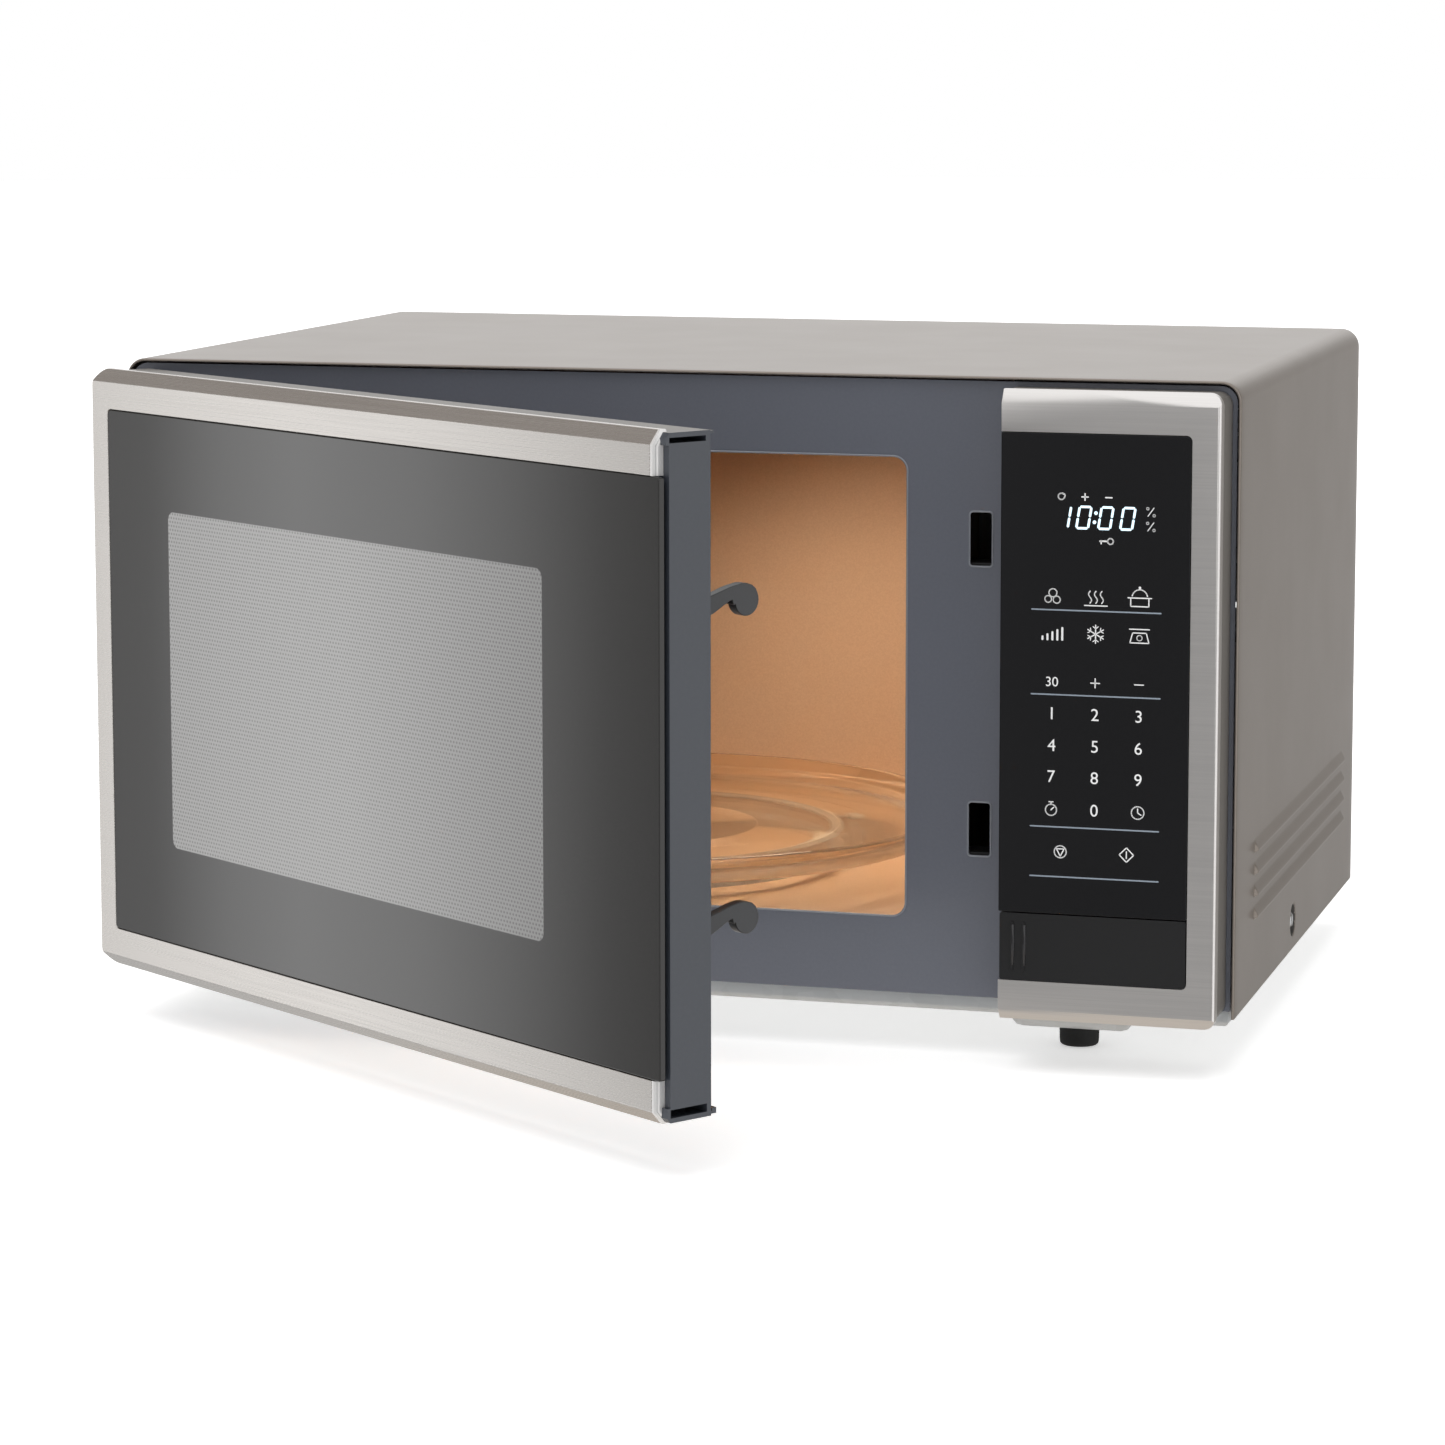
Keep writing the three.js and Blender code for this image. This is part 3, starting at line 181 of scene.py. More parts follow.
def lathe(name, profile, sides, axis="z", centre=(0, 0, 0)):
    """Turns [radius, height] pairs about an axis; a profile that starts and ends on the axis is closed."""
    place = AXES[axis]
    verts, rings = [], []
    for radius, height in profile:
        count = 1 if radius == 0 else sides
        ring = []
        for k in range(count):
            a = 2 * math.pi * k / sides
            p = place(radius * math.cos(a), radius * math.sin(a), height)
            ring.append(len(verts))
            verts.append([p[i] + centre[i] for i in range(3)])
        rings.append(ring)
    faces = []
    for one, two in zip(rings, rings[1:]):
        for k in range(sides):
            a, b = one[k % len(one)], one[(k + 1) % len(one)]
            c, d = two[(k + 1) % len(two)], two[k % len(two)]
            face = list(dict.fromkeys([a, b, c, d]))
            if len(face) > 2:
                faces.append(face)
    return new_object(name, verts, faces)


def rod(start, end, radius, sides=24):
    axis = "xyz"[[abs(e - s) > 1e-6 for s, e in zip(start, end)].index(True)]
    i = "xyz".index(axis)
    low, high = min(start[i], end[i]), max(start[i], end[i])
    turns = [2 * math.pi * k / sides for k in range(sides)]
    u, v = [start[j] for j in range(3) if j != i]
    return prism(around(u, v, radius, turns), axis, low, high)


def baked(thing):
    """Applies the modifiers so far."""
    graph = bpy.context.evaluated_depsgraph_get()
    graph.update()
    mesh = bpy.data.meshes.new_from_object(thing.evaluated_get(graph))
    thing.modifiers.clear()
    thing.data = mesh
    return thing


def combine(thing, kind, *tools):
    """A boolean with each tool in turn; the tools are used up."""
    for tool in tools:
        step = thing.modifiers.new("combine", "BOOLEAN")
        step.operation = kind
        step.solver = "EXACT"
        step.object = tool
        baked(thing)
        bpy.data.objects.remove(tool)
    return thing


def cut(thing, *tools):
    return combine(thing, "DIFFERENCE", *tools)


def join(thing, *tools):
    return combine(thing, "UNION", *tools)


def merged(name, *things):
    """Several meshes as one object, without joining their solids."""
    bm = bmesh.new()
    for thing in things:
        baked(thing)
        bm.from_mesh(thing.data)
        bpy.data.objects.remove(thing)
    mesh = bpy.data.meshes.new(name)
    bm.to_mesh(mesh)
    bm.free()
    return add(name, mesh)


def soften(thing, width, segments=3, angle=35):
    """Small rounds on the edges, with normals that keep the flats flat."""
    edge = thing.modifiers.new("round", "BEVEL")
    edge.width = width * MM
    edge.segments = segments
    edge.limit_method = "ANGLE"
    edge.angle_limit = math.radians(angle)
    edge.miter_outer = "MITER_ARC"
    thing.modifiers.new("shading", "WEIGHTED_NORMAL").keep_sharp = True
    return smooth(thing)


def smooth(thing):
    thing.data.polygons.foreach_set("use_smooth", [True] * len(thing.data.polygons))
    return thing


def second_look(thing, chosen):
    """Gives the second material of a piece to the chosen faces, one truth value for each face."""
    thing.data.polygons.foreach_set("material_index", [int(one) for one in chosen])


def settle(thing, name, body, look, slot_name, *stands_for):
    """Names a piece, gives it its materials, puts it in its body's place and hides the CAD nodes it stands for."""
    thing.name = name
    thing.data.name = name
    thing.matrix_world = PLACE.get(body, CABINET)
    thing.data.materials.clear()
    for one in look if isinstance(look, list) else [look]:
        thing.data.materials.append(one)
    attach(thing, body)
    if stands_for:
        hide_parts(*stands_for)
    return thing


# ---------------- materials

class Look:
    """A Principled material with procedural colour, roughness and bump."""

    def __init__(self, name, rough=0.5, metal=0.0, **sockets):
        self.material = bpy.data.materials.new(name)
        self.material.use_nodes = True
        self.tree = self.material.node_tree
        self.shader = self.tree.nodes["Principled BSDF"]
        self.shader.inputs["Roughness"].default_value = rough
        self.shader.inputs["Metallic"].default_value = metal
        for key, value in sockets.items():
            self.shader.inputs[key.replace("_", " ")].default_value = value
        self.coords = self.node("ShaderNodeTexCoord").outputs["Object"]

    def node(self, kind, **settings):
        made = self.tree.nodes.new(kind)
        for key, value in settings.items():
            setattr(made, key, value)
        return made

    def link(self, out, into):
        self.tree.links.new(out, into)

    def math(self, operation, a, b=None, c=None):
        made = self.node("ShaderNodeMath", operation=operation)
        for socket, value in zip(made.inputs, (a, b, c)):
            if isinstance(value, (int, float)):
                socket.default_value = value
            elif value is not None:
                self.link(value, socket)
        return made.outputs[0]

    def stretched(self, scale=(1, 1, 1), turn=0.0, coords=None):
        """Coordinates turned about Z and then scaled."""
        spin = self.node("ShaderNodeMapping")
        spin.inputs["Rotation"].default_value = (0, 0, turn)
        self.link(coords or self.coords, spin.inputs["Vector"])
        size = self.node("ShaderNodeMapping")
        size.inputs["Scale"].default_value = scale
        self.link(spin.outputs[0], size.inputs["Vector"])
        return size.outputs[0]

    def noise(self, scale, detail=3.0, coords=None, roughness=0.55):
        made = self.node("ShaderNodeTexNoise")
        made.inputs["Scale"].default_value = scale
        made.inputs["Detail"].default_value = detail
        made.inputs["Roughness"].default_value = roughness
        self.link(coords or self.coords, made.inputs["Vector"])
        return made.outputs["Fac"]

    def ramp(self, fac, stops):
        made = self.node("ShaderNodeValToRGB")
        points = made.color_ramp.elements
        while len(points) < len(stops):
            points.new(0.5)
        for point, (at, colour) in zip(points, stops):
            point.position = at
            point.color = (*colour, 1)
        self.link(fac, made.inputs["Fac"])
        return made.outputs["Color"]

    def spread(self, fac, low, high, start=0.3, end=0.7):
        made = self.node("ShaderNodeMapRange")
        for i, value in enumerate((start, end, low, high)):
            made.inputs[i + 1].default_value = value
        self.link(fac, made.inputs[0])
        return made.outputs[0]

    def mix(self, fac, a, b, blend="MIX"):
        made = self.node("ShaderNodeMix", data_type="RGBA", blend_type=blend)
        for socket, value in zip((made.inputs[0], made.inputs[6], made.inputs[7]), (fac, a, b)):
            if isinstance(value, (int, float)):
                socket.default_value = value
            elif isinstance(value, tuple):
                socket.default_value = (*value, 1)
            else:
                self.link(value, socket)
        return made.outputs[2]

    def colour(self, out):
        self.link(out, self.shader.inputs["Base Color"])

    def roughness(self, out):
        self.link(out, self.shader.inputs["Roughness"])

    def bump(self, height, strength, distance):
        made = self.node("ShaderNodeBump")
        made.inputs["Strength"].default_value = strength
        made.inputs["Distance"].default_value = distance
        self.link(height, made.inputs["Height"])
        self.link(made.outputs[0], self.shader.inputs["Normal"])


def shade(colour, factor):
    return tuple(min(1.0, c * factor) for c in colour)


def coated(name, colour, rough, metal=0.0, grain=900, fleck=0.08, depth=0.00004, spread=0.03, **sockets):
    """Paint or moulded plastic: broad drift in tone, fine flecks and a soft skin texture."""
    look = Look(name, rough, metal, **sockets)
    broad = look.noise(7, 2)
    fine = look.noise(grain, 2)
    tone = look.ramp(broad, [(0.35, shade(colour, 0.985)), (0.65, shade(colour, 1.015))])
    flecks = look.ramp(fine, [(0.3, shade((1, 1, 1), 1 - fleck)), (0.7, (1, 1, 1))])
    look.colour(look.mix(1.0, tone, flecks, "MULTIPLY"))
    look.roughness(look.spread(look.noise(22, 2), rough - spread / 2, rough + spread / 2))
    look.bump(fine, 0.12, depth)
    return look.material


def brushed(name, colour, rough, along=(14, 1500, 1500), contrast=0.035, metal=1.0):
    """Sheet metal with straight brush lines along local X."""
    look = Look(name, rough, metal)
    lines = look.noise(1, 3, look.stretched(along))
    soft_lines = look.noise(1, 2, look.stretched(tuple(a * 0.22 for a in along)))
    tone = look.ramp(lines, [(0.3, shade(colour, 1 - contrast)), (0.7, shade(colour, 1 + contrast))])
    drift = look.ramp(soft_lines, [(0.3, (0.985, 0.985, 0.985)), (0.7, (1, 1, 1))])
    look.colour(look.mix(1.0, tone, drift, "MULTIPLY"))
    look.roughness(look.spread(lines, rough - 0.03, rough + 0.03))
    look.bump(lines, 0.2, 0.000006)
    return look.material


def plated(name, colour, rough, cell=130, metal=1.0):
    """Zinc with its crystal pattern."""
    look = Look(name, rough, metal)
    cells = look.node("ShaderNodeTexVoronoi")
    cells.inputs["Scale"].default_value = cell
    look.link(look.coords, cells.inputs["Vector"])
    grey = look.node("ShaderNodeRGBToBW")
    look.link(cells.outputs["Color"], grey.inputs[0])
    tone = look.ramp(grey.outputs[0], [(0.2, shade(colour, 0.955)), (0.8, shade(colour, 1.04))])
    look.colour(tone)
    look.roughness(look.spread(grey.outputs[0], rough - 0.03, rough + 0.05, 0.2, 0.8))
    look.bump(look.noise(600, 2), 0.15, 0.00002)
    return look.material


def clear(name, colour, rough, ior=1.45, **sockets):
    look = Look(name, rough, 0.0, Transmission_Weight=1.0, IOR=ior, **sockets)
    look.colour(look.ramp(look.noise(9, 2), [(0.3, shade(colour, 0.97)), (0.7, colour)]))
    look.roughness(look.spread(look.noise(40, 3), rough, rough + 0.03))
    return look.material


# painted, plated and brushed metal
PAINT = coated(
    "cabinet paint", (0.262, 0.225, 0.195), 0.36, 0.45, grain=1500, fleck=0.10,
    Coat_Weight=0.25, Coat_Roughness=0.3)
PLATE = coated(
    "front plate enamel", (0.18, 0.19, 0.226), 0.22, 0.25, grain=700, fleck=0.05,
    Coat_Weight=0.5, Coat_Roughness=0.12)
# A lighter copy of the plate enamel: a painted highlight for the rims round the openings.
PLATE_EDGE_HIGHLIGHT = coated("front plate edge, painted highlight", (0.30, 0.315, 0.35), 0.2, 0.3, grain=700, fleck=0.05)
TAN = coated("cavity enamel", (0.57, 0.375, 0.235), 0.33, 0.15, grain=1200, fleck=0.10)
# Near black: painted shade for the hollow of the screw's dimple.
DIMPLE_SHADE = coated("painted dimple shade", (0.02, 0.018, 0.016), 0.5, fleck=0.1)
STEEL_DOOR = brushed("brushed steel, door face", (0.70, 0.67, 0.64), 0.27)
STEEL_PANEL = brushed("brushed steel, panel", (0.90, 0.875, 0.855), 0.38)
POLISHED = coated("polished return", (0.84, 0.83, 0.82), 0.16, 0.45, fleck=0.02, depth=0.0)
ZINC = plated("galvanised steel", (0.50, 0.51, 0.51), 0.34)
PAN_ZINC = plated("pan sheet", (0.66, 0.68, 0.69), 0.42, metal=0.7)
REAR_ZINC = plated("rear sheet", (0.60, 0.61, 0.61), 0.4)
BRIGHT = plated("bright zinc", (0.55, 0.56, 0.57), 0.25, cell=300)
CORE = brushed(
    "varnished laminations", (0.10, 0.085, 0.075), 0.4, along=(900, 60, 60), contrast=0.35, metal=0.6)
COPPER = brushed(
    "copper winding", (0.50, 0.18, 0.07), 0.3, along=(30, 30, 1400), contrast=0.4, metal=0.9)
ALLOY = brushed("aluminium", (0.62, 0.63, 0.64), 0.3, along=(700, 20, 700))
# plastic, rubber, boards
HOUSING = coated("housing plastic", (0.15, 0.137, 0.124), 0.4, grain=1100)
GREY = coated(
    "door plastic", (0.044, 0.05, 0.062), 0.22, grain=600, fleck=0.05, Coat_Weight=0.3, Coat_Roughness=0.1)
COVER = coated("choke cover plastic", (0.018, 0.018, 0.02), 0.35, grain=600, fleck=0.05)
BLACK = coated("black plastic", (0.012, 0.012, 0.013), 0.33, fleck=0.06)
RIB = coated("rib plastic", (0.03, 0.03, 0.032), 0.16, fleck=0.06)
# A lighter grey for the hooks' flat faces: a painted sheen on black plastic.
HOOK_SHEEN = coated("hook plastic, painted sheen", (0.042, 0.043, 0.046), 0.33, fleck=0.06)
WHITE = coated("white plastic", (0.70, 0.68, 0.62), 0.42, grain=800, fleck=0.03)
RUBBER = coated("rubber", (0.012, 0.012, 0.012), 0.8, grain=1200, fleck=0.2, depth=0.0001)
BOARD = coated("solder mask", (0.02, 0.10, 0.045), 0.4, grain=260, fleck=0.5)
MICA = coated("mica", (0.52, 0.45, 0.33), 0.5, grain=260, fleck=0.2)
# glass and what is printed or lit on it
GLASS_TRAY = clear("tray glass", (1.0, 0.88, 0.70), 0.05, Alpha=0.72)
GLASS_CLEAR = clear("clear film", (0.9, 0.9, 0.9), 0.05, ior=1.2)
BLACK_GLASS = coated(
    "black glass", (0.006, 0.006, 0.007), 0.06, grain=200, fleck=0.02, depth=0.0, spread=0.02, IOR=1.45)
# The white print carries a faint emission: a painted glow.
PRINT = coated(
    "white print, painted glow", (0.80, 0.80, 0.80), 0.4, fleck=0.05,
    Emission_Color=(0.8, 0.8, 0.8, 1), Emission_Strength=0.12)
RULE = coated("blue-grey print", (0.29, 0.345, 0.41), 0.4, fleck=0.05)
GLOW = coated(
    "lit segment", (0.4, 0.5, 0.55), 0.4, fleck=0.02,
    Emission_Color=(0.66, 0.88, 1.0, 1), Emission_Strength=1.15)
HOLE_PITCH = 0.0021  # of the door's screen, in metres


def perforated(look, hole, light, dark):
    """Round holes in staggered rows, seen as light and dark."""
    parts = look.node("ShaderNodeSeparateXYZ")
    look.link(look.coords, parts.inputs[0])
    row = look.math("DIVIDE", parts.outputs["Z"], HOLE_PITCH * 0.866)
    shift = look.math("MULTIPLY", look.math("MODULO", look.math("FLOOR", row), 2.0), 0.5)
    column = look.math("DIVIDE", parts.outputs["X"], HOLE_PITCH)
    across = look.math("FRACT", look.math("ADD", column, shift))
    up = look.math("FRACT", row)
    dx = look.math("SUBTRACT", across, 0.5)
    dz = look.math("SUBTRACT", up, 0.5)
    square = look.math("ADD", look.math("MULTIPLY", dx, dx), look.math("MULTIPLY", dz, dz))
    away = look.math("SQRT", square)
    fac = look.spread(away, 0.0, 1.0, hole - 0.06, hole + 0.06)
    return look.mix(fac, dark, light), fac, parts


def window_glass():
    """Black-printed glass with a clear window over the perforated screen; the window's dots follow the screen's
    holes, and their light grey and darkening towards the right are a painted reflection.
    """
    low, high = leaf("door_inner_window")
    margin = 8
    left, right = (low.x + margin) * MM, (high.x - margin) * MM
    bottom, top = (low.z + margin) * MM, (high.z - margin) * MM
    look = Look("door glass", 0.05, 0.0, Coat_Weight=0.35, Coat_Roughness=0.03, IOR=1.5)
    # The dot pattern is the screen's own holes; the light grey of the dots is a painted reflection.
    dots, _, parts = perforated(look, 0.30, (0.30, 0.297, 0.293), (0.165, 0.162, 0.16))
    flat = look.node("ShaderNodeCombineXYZ")
    look.link(parts.outputs["X"], flat.inputs[0])
    look.link(parts.outputs["Z"], flat.inputs[2])
    # the distance from a rounded rectangle
    radius, edge = 0.004, 0.0002
    centre = Vector(((left + right) / 2, 0, (bottom + top) / 2))
    half = Vector(((right - left) / 2 - radius, 1, (top - bottom) / 2 - radius))
    value = flat.outputs[0]
    chain = (("SUBTRACT", centre), ("ABSOLUTE", None), ("SUBTRACT", half), ("MAXIMUM", Vector((0, 0, 0))))
    for operation, vector in chain:
        step = look.node("ShaderNodeVectorMath", operation=operation)
        look.link(value, step.inputs[0])
        if vector is not None:
            step.inputs[1].default_value = vector
        value = step.outputs[0]
    length = look.node("ShaderNodeVectorMath", operation="LENGTH")
    look.link(value, length.inputs[0])
    # Painted reflection: the window's dots darken from the middle towards the right edge.
    across = look.spread(parts.outputs["X"], 0.0, 1.0, (left + right) / 2, right)
    painted_reflection = look.ramp(across, [(0.0, (1, 1, 1)), (1.0, (0.70, 0.70, 0.70))])
    dots = look.mix(1.0, dots, painted_reflection, "MULTIPLY")
    mask = look.spread(length.outputs["Value"], 1.0, 0.0, radius - edge, radius + edge)
    border = look.ramp(look.noise(5, 2), [(0.3, (0.012, 0.011, 0.0105)), (0.7, (0.016, 0.015, 0.014))])
    look.colour(look.mix(mask, border, dots))
    look.roughness(look.spread(mask, 0.05, 0.16, 0.0, 1.0))
    return look.material


DOOR_GLASS = window_glass()
screen_look = Look("perforated screen", 0.42, 0.3)
screen_look.coords = screen_look.stretched((1, 1, 1), AJAR)
holes, hole_fac, _ = perforated(screen_look, 0.33, (0.075, 0.075, 0.08), (0.006, 0.006, 0.006))
screen_look.colour(holes)
screen_look.bump(hole_fac, 0.6, 0.0002)
SCREEN = screen_look.material

CAD_LOOKS = {
    "cabinet_paint": PAINT, "plate_paint": PLATE, "cavity_enamel": TAN, "brushed_trim": STEEL_PANEL,
    "panel_glass": BLACK_GLASS, "door_glass": BLACK_GLASS, "tray_glass": GLASS_TRAY,
    "window_film": GLASS_CLEAR, "panel_plastic": HOUSING, "door_plastic": GREY, "black_plastic": BLACK,
    "white_plastic": WHITE, "foot_rubber": RUBBER, "galvanised_steel": ZINC, "bright_steel": BRIGHT,
    "screen_steel": SCREEN, "core_steel": CORE, "copper_wire": COPPER, "aluminium": ALLOY,
    "circuit_board": BOARD, "mica": MICA,
}
SPECIAL = {"choke_cover": COVER, "latch_board": BLACK}
ROUNDS = {"control_housing": 0.4, "choke_cover": 0.8, "release_button": 0.4}  # the rest: 0.2
SLOT_OF = {s["node"]: s["material_slot"] for s in frame["record"]["subparts"]}


def dress(node):
    """A CAD node keeps its mesh: modifiers merge flats and round edges, and it gets its material."""
    thing = nodes[node]
    mesh = thing.data
    if "custom_normal" in mesh.attributes:
        mesh.attributes.remove(mesh.attributes["custom_normal"])
    weld = thing.modifiers.new("weld", "WELD")
    weld.merge_threshold = 2e-6
    flats = thing.modifiers.new("flats", "DECIMATE")
    flats.decimate_type = "DISSOLVE"
    flats.angle_limit = math.radians(0.6)
    soften(thing, ROUNDS.get(node, 0.2), 2, 38)
    mesh.materials.clear()
    mesh.materials.append(SPECIAL.get(node, CAD_LOOKS[SLOT_OF[node]]))


for node in nodes:
    dress(node)


# ---------------- cabinet

SHEET = 0.8
CORNER = 9.0
LOUVRE = {
    "count": 4, "pitch": 10.2, "crest": 91.0, "front": 49.0, "back": 315.0, "proud": 1.95, "slope": 5.4,
    "lip": 1.3,
}
DIMPLE = {"y": 163.6, "z": 37.4, "floor": 4.8, "rim": 8.6, "sink": 2.6}
HEM = [(0.0, 1.0), (0.25, 0.5), (0.6, 0.2), (1.1, 0.05), (1.8, 0.0)]  # distance from the edge, inset


def thickened(sheet, faces_out):
    """Gives a skin its thickness, on its inner side."""
    skin = sheet.modifiers.new("sheet", "SOLIDIFY")
    skin.thickness = SHEET * MM
    skin.offset = -1 if faces_out else 1
    return smooth(baked(sheet))


def pressed(y, z, louvred):
    """How far the side stands out at a point: louvres out, the screw's dimple in."""
    out = 0.0
    if louvred:
        ends = eased((y - LOUVRE["front"]) / 2.2) * eased((LOUVRE["back"] - y) / 2.2)
        for i in range(LOUVRE["count"]):
            t = z - LOUVRE["crest"] + i * LOUVRE["pitch"]
            rise = eased(1 + t / LOUVRE["lip"]) if t < 0 else 1 - eased(t / LOUVRE["slope"])
            out = max(out, LOUVRE["proud"] * ends * rise)
    reach = math.hypot(y - DIMPLE["y"], z - DIMPLE["z"])
    depth = 1 - eased((reach - DIMPLE["floor"]) / (DIMPLE["rim"] - DIMPLE["floor"]))
    return out - DIMPLE["sink"] * depth


def strip(row, n):
    """The faces between two rows of a grid, n points long."""
    start, after = row * n, (row + 1) * n
    return [[start + i, start + i + 1, after + i + 1, after + i] for i in range(n - 1)]


def outer_cabinet():
    low, high = local("outer_cabinet")
    half, top, bottom, depth = -low.x, high.z, low.z, high.y
    near = DIMPLE["rim"] + 1.5
    y_stops = [d for d, _ in HEM] + steps(10, LOUVRE["front"] - 2, 12)
    y_stops += steps(LOUVRE["front"] - 2, LOUVRE["front"] + 4, 0.5)
    y_stops += steps(LOUVRE["front"] + 4, DIMPLE["y"] - near, 20)
    y_stops += steps(DIMPLE["y"] - near, DIMPLE["y"] + near, 0.6)
    y_stops += steps(DIMPLE["y"] + near, LOUVRE["back"] - 4, 20)
    y_stops += steps(LOUVRE["back"] - 4, LOUVRE["back"] + 2, 0.5)
    y_stops += steps(LOUVRE["back"] + 2, depth - 4, 9) + [depth - d for d, _ in reversed(HEM)]
    last = LOUVRE["crest"] - (LOUVRE["count"] - 1) * LOUVRE["pitch"]
    z_stops = [bottom, bottom + 0.4, bottom + 2] + steps(DIMPLE["z"] - near, DIMPLE["z"] + near, 0.6)
    z_stops += steps(DIMPLE["z"] + near, last - 3, 2)
    z_stops += steps(last - 3, LOUVRE["crest"] + 8, 0.45) + steps(LOUVRE["crest"] + 8, top - CORNER, 18)

    def bend(x, start):
        """A quarter turn at an upper corner, as [x, z, normal x, normal z]."""
        turns = [start - k * math.pi / 24 for k in range(13)]
        at = top - CORNER
        normals = [(math.cos(a), math.sin(a)) for a in turns]
        return [(x + CORNER * nx, at + CORNER * nz, nx, nz) for nx, nz in normals]

    section = [(-half, z, -1, 0) for z in z_stops] + bend(-half + CORNER, math.pi)
    section += [(x, top, 0, 1) for x in steps(-half + CORNER, half - CORNER, 40)[1:]]
    section += bend(half - CORNER, math.pi / 2) + [(half, z, 1, 0) for z in reversed(z_stops)]
    verts, faces = [], []
    for y in y_stops:
        edge = min((i for d, i in HEM if abs(min(y, depth - y) - d) < 1e-6), default=0.0)
        for x, z, nx, nz in section:
            out = pressed(y, z, nx > 0) if nz == 0 else 0.0
            out -= edge
            verts.append((x + nx * out, y, z + nz * out))
    n = len(section)
    for j in range(len(y_stops) - 1):
        faces += strip(j, n)

    def off_hole(face):
        """Leaves out the hole in the floor of each dimple."""
        _, y, z = verts[face[0]]
        return math.hypot(y - DIMPLE["y"] + 0.3, z - DIMPLE["z"] + 0.3) > DIMPLE["floor"] - 0.5

    shell = new_object("shell", verts, [f for f in faces if off_hole(f)])
    crown = Vector((0, depth / 2, top)) * MM
    top_face = min(shell.data.polygons, key=lambda face: (face.center - crown).length)
    return thickened(shell, top_face.normal.z > 0)


shell = outer_cabinet()
settle(shell, "cabinet_shell", "cabinet", [PAINT, DIMPLE_SHADE], "cabinet_paint", "outer_cabinet")
places = [face.center / MM for face in shell.data.polygons]
# The dimple's inner faces take the near-black material: painted shade in the hollow round the screw.
second_look(shell, [
    math.hypot(place.y - DIMPLE["y"], place.z - DIMPLE["z"]) < DIMPLE["rim"] - 0.9 for place in places])


# ---------------- cavity, front plate, pan and feet

CAVITY_FLOOR, WELL, SHAFT_HOLE = 49.5, 126, 6
GRID = {"rows": 5, "columns": 6, "y": 262, "drop": 9, "across": 4.6, "up": 4.2, "hole": 1.5}
table_axis = Vector(joints["turntable_spin"]["pos_m"]) / MM - CABINET.translation / MM


def cavity():
    """The box with its rounded back, the sunk field under the tray, the port and the lamp's grid."""
    low, high = local("cavity_box")
    wall = SHEET
    left, right, ceiling = low.x + wall, high.x - wall, high.z - wall
    back, turn, fillet = high.y - wall, 8.0, 9.0
    sections = [(low.y - 1, rounded(left, right, CAVITY_FLOOR, ceiling, turn, 10))]
    for k in range(9):
        a = math.pi / 2 * k / 8
        inset = fillet * (1 - math.cos(a))
        corner = max(2.0, turn - inset * 0.6)
        outline = rounded(left + inset, right - inset, CAVITY_FLOOR + inset, ceiling - inset, corner, 10)
        sections.append((back - fillet + fillet * math.sin(a), outline))
    shell = prism(rounded(low.x, high.x, CAVITY_FLOOR - wall, high.z, turn + wall, 10), "y", low.y, high.y)
    tx, ty = table_axis.x, table_axis.y
    join(shell, rod((tx, ty, low.z), (tx, ty, CAVITY_FLOOR - 0.2), WELL + wall, 96))
    cut(shell, loft(sections, "y"))
    cut(shell, rod((tx, ty, low.z + wall), (tx, ty, CAVITY_FLOOR + 1), WELL, 96))
    cut(shell, rod((tx, ty, low.z - 3), (tx, ty, CAVITY_FLOOR + 1), SHAFT_HOLE, 32))
    mica_low, mica_high = local("mica_cover")
    lap = 6
    cut(shell, block(
        right - 1, right + 3, mica_low.y + lap, mica_high.y - lap, mica_low.z + lap, mica_high.z - lap))
    lamp_low, lamp_high = local("lamp_bulb")
    grid = (lamp_low.z + lamp_high.z) / 2
    for row in range(GRID["rows"]):
        for column in range(GRID["columns"]):
            y = GRID["y"] + column * GRID["across"] + (row % 2) * GRID["across"] / 2
            z = grid - GRID["drop"] + row * GRID["up"]
            cut(shell, rod((right - 1, y, z), (right + 3, y, z), GRID["hole"], 12))
    return soften(shell, 0.35, 3, 40)


settle(cavity(), "cavity_shell", "cabinet", TAN, "cavity_enamel", "cavity_box")


# openings in the front plate: left, right, bottom, top, corner radius
MOUTH = (-244, 111.7, 61.9, 269.7, 6.2)
HOOK_DROP = 130.8  # from the upper hook and its slot to the lower
LATCH_SLOTS = [(141.2, 150.8, 222.1 - drop, 245.9 - drop, 1.2) for drop in (0, HOOK_DROP)]
PANEL_MOUTH = (164.3, 250, 36, 288, 4)


def front_plate():
    low, high = local("front_plate")
    outline = rounded(low.x + 0.9, high.x - 0.9, low.z, high.z - 1.0, [1, 1, 7.4, 7.4], 8)
    plate = prism(outline, "y", low.y, high.y)
    for opening, corner_steps in ((MOUTH, 12), *[(slot, 5) for slot in LATCH_SLOTS], (PANEL_MOUTH, 8)):
        cut(plate, prism(rounded(*opening, corner_steps), "y", low.y - 1, high.y + 1))
    return soften(plate, 0.34, 4, 40)


def rim(left, right, bottom, top, radius, width=0.9):
    """A thin raised edge round an opening in the front plate."""
    low, _ = local("front_plate")
    outline = rounded(left - width, right + width, bottom - width, top + width, radius + width, 8)
    outer = prism(outline, "y", low.y - 0.35, low.y + 0.4)
    cut(outer, prism(rounded(left, right, bottom, top, radius, 8), "y", low.y - 2, low.y + 2))
    return soften(outer, 0.3, 3, 40)


settle(front_plate(), "front_plate_shell", "cabinet", PLATE, "plate_paint", "front_plate")
rims = merged("rims", *[rim(*opening) for opening in (MOUTH, *LATCH_SLOTS)])
# The rims take the lighter copy of the plate enamel: a painted edge highlight.
settle(rims, "front_plate_rims", "cabinet", PLATE_EDGE_HIGHLIGHT, "plate_paint")


FOOT_SEAT = 10.2  # the photograph's seat; the solid's is at 14.5


